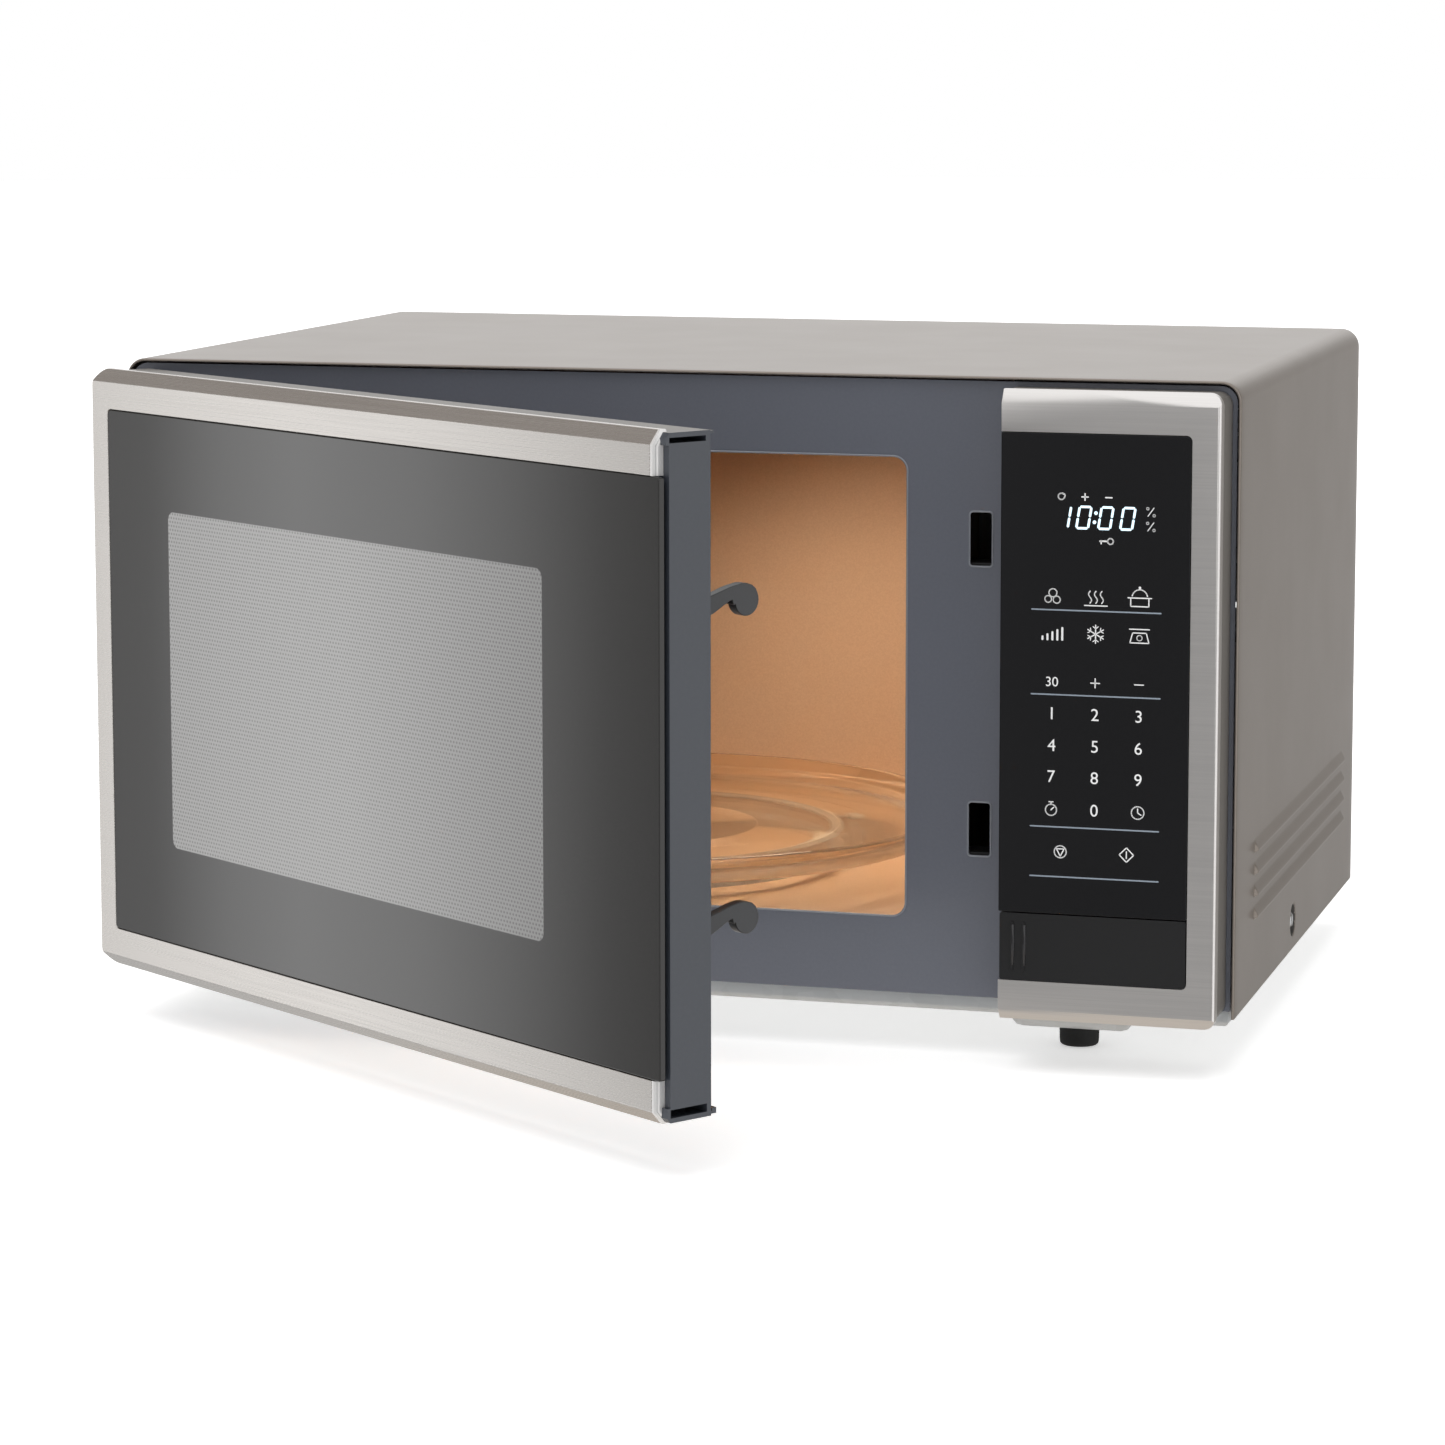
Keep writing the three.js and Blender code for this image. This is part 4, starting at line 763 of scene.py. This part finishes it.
def pan():
    """A pressed sheet: a flat, four seats, a shallow field in the middle and a rolled rim."""
    low, high = local("base_plate")
    feet = [local(n) for n in nodes if n.startswith("foot_")]
    centres = [((a.x + b.x) / 2, (a.y + b.y) / 2) for a, b in feet]
    flat, roll = 18.4, 3.0

    def field(x, y):
        z = flat
        for cx, cy in centres:
            away = math.hypot(max(abs(x - cx) - 24, 0), max(abs(y - cy) - 18, 0))
            z = min(z, flat + (FOOT_SEAT + SHEET - flat) * (1 - eased(away / 8)))
        away = math.hypot(max(abs(x + 25) - 118, 0), max(abs(y - 178) - 150, 0))
        return min(z, flat + (low.z + 0.5 - flat) * (1 - eased(away / 9)))

    xs = steps(low.x + roll, high.x - roll, 3.2) + [high.x - roll]
    ys = steps(low.y + roll, high.y - roll, 3.2) + [high.y - roll]
    turns = [k * math.pi / 12 for k in range(1, 7)]
    arc = [(roll * math.sin(a), roll * (1 - math.cos(a))) for a in turns] + [(roll, high.z - flat)]

    def rimmed(stops):
        """Each stop with its rise: none on the flat, and the roll's beyond both ends."""
        ahead = [(stops[0] - d, r) for d, r in reversed(arc)]
        return ahead + [(stop, 0) for stop in stops] + [(stops[-1] + d, r) for d, r in arc]

    columns, rows = rimmed(xs), rimmed(ys)
    verts, faces = [], []
    for y, rise_y in rows:
        for x, rise_x in columns:
            verts.append((x, y, field(x, y) + max(rise_x, rise_y)))
    n = len(columns)
    for j in range(len(rows) - 1):
        faces += strip(j, n)
    sheet = new_object("pan", verts, faces)
    centre_face = sheet.data.polygons[len(sheet.data.polygons) // 2]
    return thickened(sheet, centre_face.normal.z < 0)


settle(pan(), "pan_shell", "cabinet", PAN_ZINC, "galvanised_steel", "base_plate")


def rear_panel():
    low, high = local("rear_panel")
    sheet = prism(rounded(low.x, high.x, low.z, high.z, [2, 2, 8, 8], 8), "y", low.y, high.y)
    slots = [(150 + 48 * c, 162 + 11 * r, 42, 5) for r in range(8) for c in range(2)]
    slots += [(-230 + 11 * c, 232, 5, 46) for c in range(8)]
    for x, z, wide, tall in slots:
        cut(sheet, prism(rounded(x, x + wide, z, z + tall, 2.2, 5), "y", low.y - 2, high.y + 2))
    return soften(sheet, 0.25, 2, 40)


settle(rear_panel(), "rear_sheet", "cabinet", REAR_ZINC, "galvanised_steel", "rear_panel")


def foot_piece(node):
    low, high = local(node)
    x, y = (low.x + high.x) / 2, (low.y + high.y) / 2
    r, seat = (high.x - low.x) / 2, FOOT_SEAT
    profile = [(0, 0), (r - 3.4, 0), (r - 3.0, 0.5), (r - 2.0, 0.15)]
    profile += [(r - 1.1, 0.35), (r - 0.5, 0.9), (r - 0.3, 1.8)]
    profile += [(r - 0.3 + 0.12 * (k % 2) + 0.012 * k, 2.4 + k * 0.62) for k in range(11)]
    profile += [(r, seat - 1), (r, seat - 0.5), (r - 0.4, seat)]
    profile += [(3, seat), (3, 15.9), (4, 15.9), (2, 18.9), (0, 18.9)]  # the stem and its barb
    return smooth(lathe("foot", profile, 56, "z", (x, y, 0)))


for node in [n for n in nodes if n.startswith("foot_")]:
    settle(foot_piece(node), node + "_pad", "cabinet", RUBBER, "foot_rubber", node)


# ---------------- front section

FACE = leaf("door_glass")[0].y  # the plane of both glasses
GLASS_TOP, GLASS_BOTTOM = 285.2, 41.7
EDGE_Y, EDGE_TOP, EDGE_BOTTOM = -22.7, 303.5, 23.5
FACE_TOP, FACE_BOTTOM = 297.6, 28.7
TRIM_BACK = -20.1


def front_outline(inset, back):
    """The front section seen from the side, inset by a distance, from the face to a depth."""
    face, lean = FACE + inset, inset * 0.5
    return [
        (face, FACE_BOTTOM + lean), (EDGE_Y + lean, EDGE_BOTTOM + inset), (back, EDGE_BOTTOM + inset),
        (back, EDGE_TOP - inset), (EDGE_Y + lean, EDGE_TOP - inset), (face, FACE_TOP - lean),
    ]


def c_trim(left, right, window, corners, outer_corners):
    """A C-shaped brushed trim with an opening for its glass."""
    trim = prism(front_outline(0, TRIM_BACK), "x", left, right)
    cut(trim, prism(rounded(*window, GLASS_BOTTOM, GLASS_TOP, corners, 6), "y", FACE - 2, TRIM_BACK + 2))
    silhouette = rounded(left, right, EDGE_BOTTOM, EDGE_TOP, outer_corners, 10)
    return combine(trim, "INTERSECT", prism(silhouette, "y", -60, 0))


def rail_end(x, out, upper, inset):
    """The folded, polished end of a rail: its section drawn in towards the end."""
    def section(d):
        if upper:
            return [
                (FACE + d, GLASS_TOP), (FACE + d, FACE_TOP - d / 2), (EDGE_Y + d / 2, EDGE_TOP - d),
                (TRIM_BACK, EDGE_TOP - d), (TRIM_BACK, GLASS_TOP),
            ]
        return [
            (FACE + d, GLASS_BOTTOM), (TRIM_BACK, GLASS_BOTTOM), (TRIM_BACK, EDGE_BOTTOM + d),
            (EDGE_Y + d / 2, EDGE_BOTTOM + d), (FACE + d, FACE_BOTTOM + d / 2),
        ]
    return loft([(x, section(0)), (x + out * 0.55, section(0.02)), (x + out, section(inset))], "x")


trim_low, trim_high = leaf("door_trim")
glass_low, glass_high = leaf("door_glass")
RETURN = 2.4  # the width of a rail's polished end
door_trim = c_trim(
    trim_low.x, trim_high.x - RETURN, (glass_low.x - 0.3, trim_high.x + 9), [2.2, 0, 0, 2.2], [8, 0, 0, 8])
settle(soften(door_trim, 0.45, 4, 30), "door_trim_face", "door", STEEL_DOOR, "brushed_trim", "door_trim")
ends = merged("ends", *[rail_end(trim_high.x - RETURN, RETURN, upper, 1.9) for upper in (True, False)])
settle(soften(ends, 0.12, 2, 20), "door_trim_ends", "door", POLISHED, "brushed_trim")

panel_low, panel_high = local("control_trim")
pane_low, pane_high = local("control_glass")
panel_trim = c_trim(
    panel_low.x, panel_high.x, (panel_low.x - 9, pane_high.x + 0.3), [0, 2.6, 2.6, 0], [0, 6, 6, 0])
from_above = rounded(panel_low.x - 9, panel_high.x, FACE, 60, [0, 1.7, 0, 0], 8)
combine(panel_trim, "INTERSECT", prism(from_above, "z", 0, 400))
soften(panel_trim, 0.4, 4, 40)
settle(panel_trim, "panel_trim_face", "cabinet", STEEL_PANEL, "brushed_trim", "control_trim")


def door_pane():
    shape = rounded(glass_low.x, glass_high.x, GLASS_BOTTOM + 0.3, GLASS_TOP - 0.3, [2, 1.2, 1.2, 2], 6)
    return soften(prism(shape, "y", FACE, FACE + 3), 0.5, 4, 40)


settle(door_pane(), "door_pane", "door", DOOR_GLASS, "door_glass", "door_glass")


def panel_pane():
    shape = rounded(pane_low.x, pane_high.x, pane_low.z, pane_high.z, [0.5, 0.5, 2.4, 0.5], 6)
    return soften(prism(shape, "y", FACE, FACE + 2), 0.35, 4, 40)


settle(panel_pane(), "panel_pane", "cabinet", BLACK_GLASS, "panel_glass", "control_glass")


def door_body():
    """The moulded frame, with the slots at its free end and the small tabs behind them."""
    low, high = leaf("door_frame")
    left, right, back, seat = low.x, high.x, high.y, FACE + 3.3
    body = prism(front_outline(1.1, back), "x", left, right)
    silhouette = rounded(left, right, low.z, high.z, [8, 0, 0, 8], 8)
    combine(body, "INTERSECT", prism(silhouette, "y", -60, back + 1))
    cut(body, block(left - 1, left + 0.9, -60, EDGE_Y + 3, 0, 400))
    cut(body, block(glass_low.x - 0.3, right + 1, -60, seat, GLASS_BOTTOM, GLASS_TOP))
    cut(body, block(trim_high.x - 0.4, right + 1, -60, seat, 0, 400))
    cover_low, cover_high = leaf("choke_cover")
    recess = rounded(cover_low.x - 0.3, cover_high.x + 0.3, cover_low.z - 0.3, cover_high.z + 0.3, 6)
    cut(body, prism(recess, "y", seat + 2, back + 1))
    cut(body, block(right - 14, right + 1, seat + 1.6, -3.6, high.z - 4.2, high.z - 2.0))
    cut(body, block(right - 14, right + 1, seat + 1.6, -3.4, low.z + 2.0, low.z + 5.4))
    cut(body, block(right - 5, right + 1, seat - 1, seat + 1.5, low.z + 6, high.z - 5))
    hooks_low, hooks_high = leaf("latch_hooks")
    for drop in (0, HOOK_DROP):
        x = (hooks_low.x + hooks_high.x) / 2
        cut(body, block(x - 3.6, x + 3.6, back - 14, back + 1, 216.1 - drop, 246.1 - drop))
    for plate in ("upper_hinge", "lower_hinge"):
        plate_low, plate_high = local(plate)
        arm = plate_high.z - 2 if plate == "upper_hinge" else plate_low.z
        cut(body, block(left - 1, pin_x + 4.6, pin_y - 5.6, back + 1, arm - 1, arm + 3))
    join(body, block(right - 7, right - 1.2, back - 1, back + 2.6, high.z - 1.5, high.z - 0.4))
    join(body, block(right - 12, right - 1.2, back - 1, back + 2.6, low.z + 0.4, low.z + 1.6))
    join(body, block(right - 7, right - 1.2, back + 1.4, back + 3.6, low.z + 0.4, low.z + 2.8))
    return soften(body, 0.35, 3, 35)


pin = DOOR.inverted() @ Vector(hinge["pos_m"]) / MM
pin_x, pin_y = pin.x, pin.y
body = door_body()
settle(body, "door_body", "door", [GREY, HOUSING], "door_plastic", "door_frame")
# Upward faces along the top take the lighter housing plastic: a painted highlight from the light above.
near_top = (leaf("door_frame")[1].z - 2) * MM
second_look(body, [face.normal.z > 0.7 and face.center.z > near_top for face in body.data.polygons])


def hooks():
    """The two hooks, rounded, black plastic whose flat faces are coloured lighter than the edges as a painted
    sheen.
    """
    low, high = leaf("latch_hooks")
    x, half = (low.x + high.x) / 2, (high.x - low.x) / 2
    arm = [(-12, 217.5), (-5, 221.5), (10.7, 226.4), (19.6, 231.0)]
    throat = [(20.6 + 0.9 * k / 3, 231.4 - 3.2 * k / 3) for k in range(4)]
    nose = []
    for k in range(15):
        t = math.radians(190 + k * 14)
        nose.append((28.4 + 6.3 * math.cos(t), 230.6 + 6.4 * math.sin(t)))
    crown = [(33.2, 235.2), (31.2, 236.8), (28.4, 237.7), (25.7, 237.8)]
    crown += [(20, 236.8), (10.7, 234.2), (-5, 230.2), (-12, 229)]
    outline = arm + throat[:3] + [p for p in nose if p[1] < 233.5] + crown
    things = []
    for drop in (0, HOOK_DROP):
        points = [(y, z - drop) for y, z in outline]
        things.append(prism(points, "x", x - half, x + half))
    spine = [(-19, 84), (-12.5, 84), (-11, 92), (-11, 230), (-14, 236), (-19, 236)]
    things.append(prism(spine, "x", x - half, x + half))
    return soften(merged("hooks", *things), 0.9, 3, 35)


hook_piece = hooks()
settle(hook_piece, "hook_pair", "latch", [BLACK, HOOK_SHEEN], "black_plastic", "latch_hooks")
# The flat side faces take the lighter grey: a painted sheen.
second_look(hook_piece, [abs(face.normal.x) > 0.97 for face in hook_piece.data.polygons])

# the two ribs on the button
RIB_Y = FACE - 0.05
ribs = merged("ribs", *[rod((x, RIB_Y, 48.6), (x, RIB_Y, 66.8), 0.75, 16) for x in (168.2, 173.4)])
settle(smooth(ribs), "button_ribs", "button", RIB, "black_plastic")


# ---------------- turntable

def curve_through(points, per=5):
    """A smooth line through points, for turned sections."""
    dense = []
    for i in range(len(points) - 1):
        p = [points[max(i - 1, 0)], points[i], points[i + 1], points[min(i + 2, len(points) - 1)]]
        for k in range(per):
            t = k / per
            dense.append(tuple(
                0.5 * (2 * b + (c - a) * t + (2 * a - 5 * b + 4 * c - d) * t * t
                       + (3 * b - a - 3 * c + d) * t ** 3) for a, b, c, d in zip(*p)))
    return dense + [points[-1]]


def tray():
    """The glass plate with its raised edge, and the three lugs that sit on the coupler."""
    low, high = local("glass_tray")
    r = (high.x - low.x) / 2
    z = high.z - 14.4
    upper = curve_through([
        (r - 34, z + 4.8), (r - 26, z + 4.8), (r - 19, z + 5.0), (r - 13.5, z + 6.4), (r - 10.5, z + 8.0),
        (r - 8.4, z + 8.4), (r - 5.6, z + 9.0), (r - 3.9, z + 11.2), (r - 2.9, z + 13.4),
        (r - 1.7, z + 14.35), (r - 0.5, z + 13.9), (r - 0.05, z + 12.9)])
    lower = curve_through([
        (r - 0.05, z + 12.9), (r - 0.7, z + 10.2), (r - 2.2, z + 6.6), (r - 5.2, z + 3.4),
        (r - 9.6, z + 1.2), (r - 15, z + 0.25), (r - 22, z)])
    rings = [(101.5, z), (101, z - 0.7), (99, z - 0.7), (98.5, z)]
    rings += [(60.5, z), (60, z + 0.35), (59, z + 0.35), (58.5, z)]
    profile = [(0, z + 4.8), (58, z + 4.8), *upper, *lower[1:], *rings, (0, z)]
    glass = lathe("tray", profile, 160, "z", (table_axis.x, table_axis.y, 0))
    lug, lugs, reach = [(0, z - 5), (2.6, z - 5), (3.2, z - 4.4), (3.2, z - 0.05), (0, z - 0.05)], [], 12.5
    for i in range(3):
        a = math.pi / 2 + i * 2 * math.pi / 3
        x, y = table_axis.x + reach * math.cos(a), table_axis.y + reach * math.sin(a)
        lugs.append(lathe("lug", lug, 24, "z", (x, y, 0)))
    return smooth(merged("tray", glass, *lugs))


settle(tray(), "tray_glass", "tray", GLASS_TRAY, "tray_glass", "glass_tray")


# ---------------- panel marks

PRINT_Y = FACE - 0.04


class Marks:
    """Flat printed strokes on the panel, in millimetres across and up."""

    def __init__(self, width):
        self.width = width
        self.verts, self.faces = [], []

    def fill(self, points):
        start = len(self.verts)
        self.verts += [(x, PRINT_Y, z) for x, z in points]
        self.faces.append(list(range(start, start + len(points))))

    def line(self, points, width=None):
        half = (width or self.width) / 2
        for (x0, z0), (x1, z1) in zip(points, points[1:]):
            a = math.atan2(z1 - z0, x1 - x0)
            dx, dz = -math.sin(a) * half, math.cos(a) * half
            turned = around(0, 0, half, [a + t for t in (-1.05, -0.5, 0, 0.5, 1.05)])
            cap = [(x1 + u, z1 + v) for u, v in turned]
            tail = [(x0 - u, z0 - v) for u, v in turned]
            near, far = [(x0 - dx, z0 - dz), (x1 - dx, z1 - dz)], [(x1 + dx, z1 + dz), (x0 + dx, z0 + dz)]
            self.fill([*near, *cap, *far, *tail])

    def lines(self, *strokes):
        for points in strokes:
            self.line(points)

    def arc(self, x, z, r, start=0, end=360, sides=20, width=None):
        angles = [math.radians(start + (end - start) * k / sides) for k in range(sides + 1)]
        self.line(around(x, z, r, angles), width)

    def dot(self, x, z, r):
        self.fill(around(x, z, r, [k * math.pi / 8 for k in range(16)]))

    def place(self, name, look):
        made = new_object(name, self.verts, self.faces)
        return settle(made, name, "cabinet", look, "panel_glass")


def digits(words, look, name, height):
    """Plain numbers, each [text, x, z], centred on its place."""
    things = []
    for text, x, z in words:
        curve = bpy.data.curves.new("digit", "FONT")
        curve.body = text
        made = add("digit", curve)
        graph = bpy.context.evaluated_depsgraph_get()
        mesh = bpy.data.meshes.new_from_object(made.evaluated_get(graph))
        bpy.data.objects.remove(made)
        points = [v.co.copy() for v in mesh.vertices]
        low = Vector(min(p[i] for p in points) for i in range(2))
        high = Vector(max(p[i] for p in points) for i in range(2))
        scale = height / (high.y - low.y)
        centre = (low + high) / 2
        verts = [(x + (p.x - centre.x) * scale, PRINT_Y, z + (p.y - centre.y) * scale) for p in points]
        faces = [list(f.vertices) for f in mesh.polygons]
        things.append(new_object("digit", verts, faces))
    return settle(merged(name, *things), name, "cabinet", look, "panel_glass")


COLUMNS = (185.0, 204.2, 223.6)
KEY_ROWS = (161.8, 147.7, 133.8)
keys = [(str(3 * r + c + 1), x, z) for r, z in enumerate(KEY_ROWS) for c, x in enumerate(COLUMNS)]
digits(keys + [("0", COLUMNS[1], 119.4)], PRINT, "panel_digits", 5.3)

icons = Marks(0.5)
a, b, c = COLUMNS
# first row: puffs, warming waves, a covered pot
for dx, dz, r in ((-2.0, -1.2, 1.5), (1.8, -1.4, 1.6), (0.1, 1.6, 1.8)):
    icons.arc(a + dx, 213.4 + dz, r, sides=14)
for dx in (-2.6, 0, 2.6):
    icons.line([(b + dx + 0.7 * math.sin(t * 0.9), 211.0 + t * 0.75) for t in range(8)])
icons.lines(
    [(b - 5, 209.9), (b + 5, 209.9)], [(c - 4, 213.6), (c - 4, 210.2), (c + 4, 210.2), (c + 4, 213.6)],
    [(c - 5.2, 213.9), (c + 5.2, 213.9)])
icons.arc(c, 214.2, 3.4, 10, 170, 10)
icons.dot(c, 218.4, 0.6)
# second row: power bars, frost, a scale
for k in range(5):
    icons.line([(a - 4.4 + 2.2 * k, 194.4), (a - 4.4 + 2.2 * k, 195.6 + 1.0 * k)], 0.9)
FROST = (b, 197.4)
for k in range(6):
    t = math.radians(60 * k + 30)
    icons.line([FROST, *around(*FROST, 4, [t])])
    for turn in (0.55 * 0.62, -0.55 * 0.62):
        icons.line([*around(*FROST, 2.4, [t]), *around(*FROST, 3.5, [t + turn])], 0.4)
icons.line([(c - 4.2, 194.2), (c + 4.2, 194.2), (c + 3.0, 198.6), (c - 3.0, 198.6), (c - 4.2, 194.2)])
icons.arc(c, 196.4, 1.2, sides=12, width=0.4)
icons.line([(c - 4.4, 200.2), (c + 4.4, 200.2)])
# third row: quick start, more, less
QUICK_Z = 175.8
icons.lines(
    [(b - 2, QUICK_Z), (b + 2, QUICK_Z)], [(b, QUICK_Z - 2), (b, QUICK_Z + 2)],
    [(c - 2, QUICK_Z), (c + 2, QUICK_Z)])
# timer and clock
icons.arc(a, 118.9, 2.5)
icons.lines([(a - 0.9, 122.5), (a + 0.9, 122.5)], [(a, 121.4), (a, 122.5)], [(a, 118.9), (a + 1.2, 120.1)])
icons.arc(c, 119.3, 2.8)
icons.line([(c, 121.1), (c, 119.3), (c + 1.5, 118.4)])
# stop and start
icons.arc(189.3, 100.4, 2.7)
icons.lines(
    [(187.6, 101.7), (191.0, 101.7), (189.3, 98.4), (187.6, 101.7)],
    [(218.8, 103.6), (222.0, 100.4), (218.8, 97.2), (215.6, 100.4), (218.8, 103.6)],
    [(218.8, 98.9), (218.8, 101.9)])
# display indicators: two steps, a lock, two units
for x in (199.0, 209.5):
    icons.line([(x - 1.4, 257.4), (x + 1.4, 257.4)], 0.6)
icons.line([(199.0, 256.0), (199.0, 258.8)], 0.6)
icons.arc(188.5, 257.4, 1.4, 40, 340, 12, 0.55)
icons.line([(189.0, 258.9), (190.2, 258.2), (189.9, 256.9)], 0.5)
icons.arc(210.4, 238.3, 1.3, sides=12, width=0.6)
icons.line([(209.1, 238.3), (205.8, 238.3)], 0.7)
icons.line([(206.3, 238.3), (206.3, 237.2)], 0.6)
for z in (251.6, 245.2):
    icons.line([(226.8, z - 1.8), (229.4, z + 1.8)], 0.38)
    icons.arc(226.7, z + 1.5, 0.55, sides=8, width=0.35)
    icons.arc(229.5, z - 1.5, 0.55, sides=8, width=0.35)
icons.place("panel_icons", PRINT)
digits([("30", a, QUICK_Z)], PRINT, "panel_thirty", 4.2)

rules = Marks(0.62)
for z in (207.5, 170.1, 111.4, 89.2):
    rules.line([(175.8, z), (232.9, z)])
rules.place("panel_rules", RULE)

# the clock: slanted seven-segment figures
SEGMENTS = {"0": "abcdef", "1": "bc"}
LEAN, HEIGHT, WIDTH, BAR = 0.16, 9.4, 5.2, 1.05
CLOCK_Z = 243.7


def figure(marks, digit, x):
    half = HEIGHT / 2
    lines = {
        "a": ((0.7, HEIGHT), (WIDTH - 0.7, HEIGHT)), "b": ((WIDTH, HEIGHT - 0.7), (WIDTH, half + 0.7)),
        "c": ((WIDTH, half - 0.7), (WIDTH, 0.7)), "d": ((0.7, 0), (WIDTH - 0.7, 0)),
        "e": ((0, half - 0.7), (0, 0.7)), "f": ((0, HEIGHT - 0.7), (0, half + 0.7)),
    }
    for segment in SEGMENTS[digit]:
        marks.line([(x + u + v * LEAN, CLOCK_Z + v) for u, v in lines[segment]])


clock = Marks(BAR)
for digit, x in (("1", 186.2), ("0", 195.2), ("0", 204.9), ("0", 214.6)):
    figure(clock, digit, x)
for z in (2.8, 6.8):
    clock.dot(202.8 + z * LEAN, CLOCK_Z + z, 0.8)
clock.place("clock_digits", GLOW)

# ---------------- stage

world = bpy.data.worlds.new("studio")
scene.world = world
world.use_nodes = True
world.node_tree.nodes["Background"].inputs[0].default_value = (1, 1, 1, 1)
world.node_tree.nodes["Background"].inputs[1].default_value = 0.5

FAR = 12000
floor_corners = [(-FAR, -FAR, 0), (FAR, -FAR, 0), (FAR, FAR, 0), (-FAR, FAR, 0)]
floor = new_object("floor", floor_corners, [[0, 1, 2, 3]])
floor.location.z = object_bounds()[0].z - 0.0002
floor_look = Look("floor", 0.7, Emission_Color=(1, 1, 1, 1), Emission_Strength=0.5)
shades = [(0.3, (0.94, 0.94, 0.94)), (0.7, (0.96, 0.96, 0.96))]
floor_look.colour(floor_look.ramp(floor_look.noise(3, 2), shades))
floor.data.materials.append(floor_look.material)
floor.visible_glossy = False


def glowing(name, strength, stops=((0, 1), (1, 1)), start=-1, end=1, axis="Y", tint=(1, 1, 1)):
    """A lit surface, even or changing in brightness from one side to the other."""
    material = bpy.data.materials.new(name)
    material.use_nodes = True
    tree = material.node_tree
    tree.nodes.clear()
    coords = tree.nodes.new("ShaderNodeTexCoord")
    parts = tree.nodes.new("ShaderNodeSeparateXYZ")
    span = tree.nodes.new("ShaderNodeMapRange")
    ramp = tree.nodes.new("ShaderNodeValToRGB")
    light = tree.nodes.new("ShaderNodeEmission")
    out = tree.nodes.new("ShaderNodeOutputMaterial")
    tree.links.new(coords.outputs["Object"], parts.inputs[0])
    tree.links.new(parts.outputs[axis], span.inputs[0])
    span.inputs[1].default_value, span.inputs[2].default_value = start, end
    tree.links.new(span.outputs[0], ramp.inputs[0])
    points = ramp.color_ramp.elements
    while len(points) < len(stops):
        points.new(0.5)
    for point, (at, level) in zip(points, stops):
        point.position = at
        point.color = (*shade(tint, level), 1)
    tree.links.new(ramp.outputs[0], light.inputs[0])
    light.inputs[1].default_value = strength
    tree.links.new(light.outputs[0], out.inputs[0])
    return material


# The backdrop is white to the camera and in reflections; the soft world light does the lighting.
dome = lathe("backdrop", [(0, -11000), (7800, -7800), (11000, 0), (7800, 7800), (0, 11000)], 32)
dome.data.materials.append(glowing("backdrop white", 1.0))
dome.visible_diffuse = dome.visible_transmission = dome.visible_shadow = False


def card(name, corners, look):
    """A lit or dark card that is seen only in reflections."""
    made = new_object(name, corners, [[0, 1, 2, 3]])
    made.data.materials.append(look)
    made.visible_camera = made.visible_diffuse = made.visible_shadow = made.visible_transmission = False
    return made


def upright(start, end, low, high):
    """The corners of a standing card between two places on the floor."""
    return [(*start, low), (*end, low), (*end, high), (*start, high)]


# To the left, a card whose brightness rises and falls across the door's glass.
left_stops = [
    (0.0, 0.12), (0.16, 0.24), (0.30, 0.5), (0.42, 0.68),
    (0.58, 0.76), (0.68, 0.6), (0.78, 0.31), (1.0, 0.22),
]
left = (-2500, -2400), (-2500, 2400)
left_look = glowing("left card", 2.5, left_stops, -0.55, 0.15)
left_card = card("left_card", upright(*left, -2500, 1000), left_look)
# Above it a dim one for the door's upper chamfer; others for the side, the panel and the lower chamfers.
dim = glowing("dim card", 0.34, tint=(1.0, 0.93, 0.88))
high_card = card("high_card", upright(*left, 1000, 4500), dim)
side_dim = glowing("side card", 0.25, tint=(1.0, 0.95, 0.9))
right_card = card("right_card", upright((800, 3500), (6000, 2000), -2500, 3000), side_dim)
front_look = glowing("front card", 1.0, [(0, 0.5), (0.35, 0.42), (0.6, 0.28), (1, 0.26)], -1.6, 0.2, "X")
front_card = card("front_card", upright((-2300, -3600), (3000, -3600), -2500, 2500), front_look)
warm = glowing("warm card", 0.58, tint=(1.0, 0.92, 0.83))
low_corners = [(-2400, -3500, -2400), (3000, -3500, -2400), (3000, 3000, -2400), (-2400, 3000, -2400)]
low_card = card("low_card", low_corners, warm)

sun = bpy.data.lights.new("sky", "SUN")
sun.energy = 1.7
sun.angle = math.radians(70)
sky = add("sky", sun)
sky.visible_glossy = False
sky.rotation_euler = (math.radians(14), math.radians(-16), 0)

lamp = bpy.data.lights.new("oven lamp", "AREA")
lamp.shape = "RECTANGLE"
lamp.size, lamp.size_y = 0.14, 0.12
lamp.energy, lamp.color = 0.52, (1.0, 0.89, 0.76)
lamp.spread = math.radians(125)
oven = add("oven lamp", lamp)
oven.location = CABINET @ (Vector((10, 200, 277)) * MM)
aim = CABINET @ (Vector((0, 215, 60)) * MM)
oven.rotation_mode = "QUATERNION"
oven.rotation_quaternion = (aim - oven.location).to_track_quat("-Z", "Y")

camera_data = bpy.data.cameras.new("camera")
camera = add("camera", camera_data)
scene.camera = camera
camera_data.lens = 114.32
camera_data.sensor_width = 36
camera_data.shift_y = -0.1
camera_data.clip_start = 0.05
camera_data.clip_end = 60
camera.location = CABINET @ (Vector((598.2, -1976.8, 466.1)) * MM)
camera.rotation_euler = (math.radians(90 - 7.013), math.radians(0.042), math.radians(16.109))

scene.view_settings.view_transform = "Standard"
scene.view_settings.look = "None"
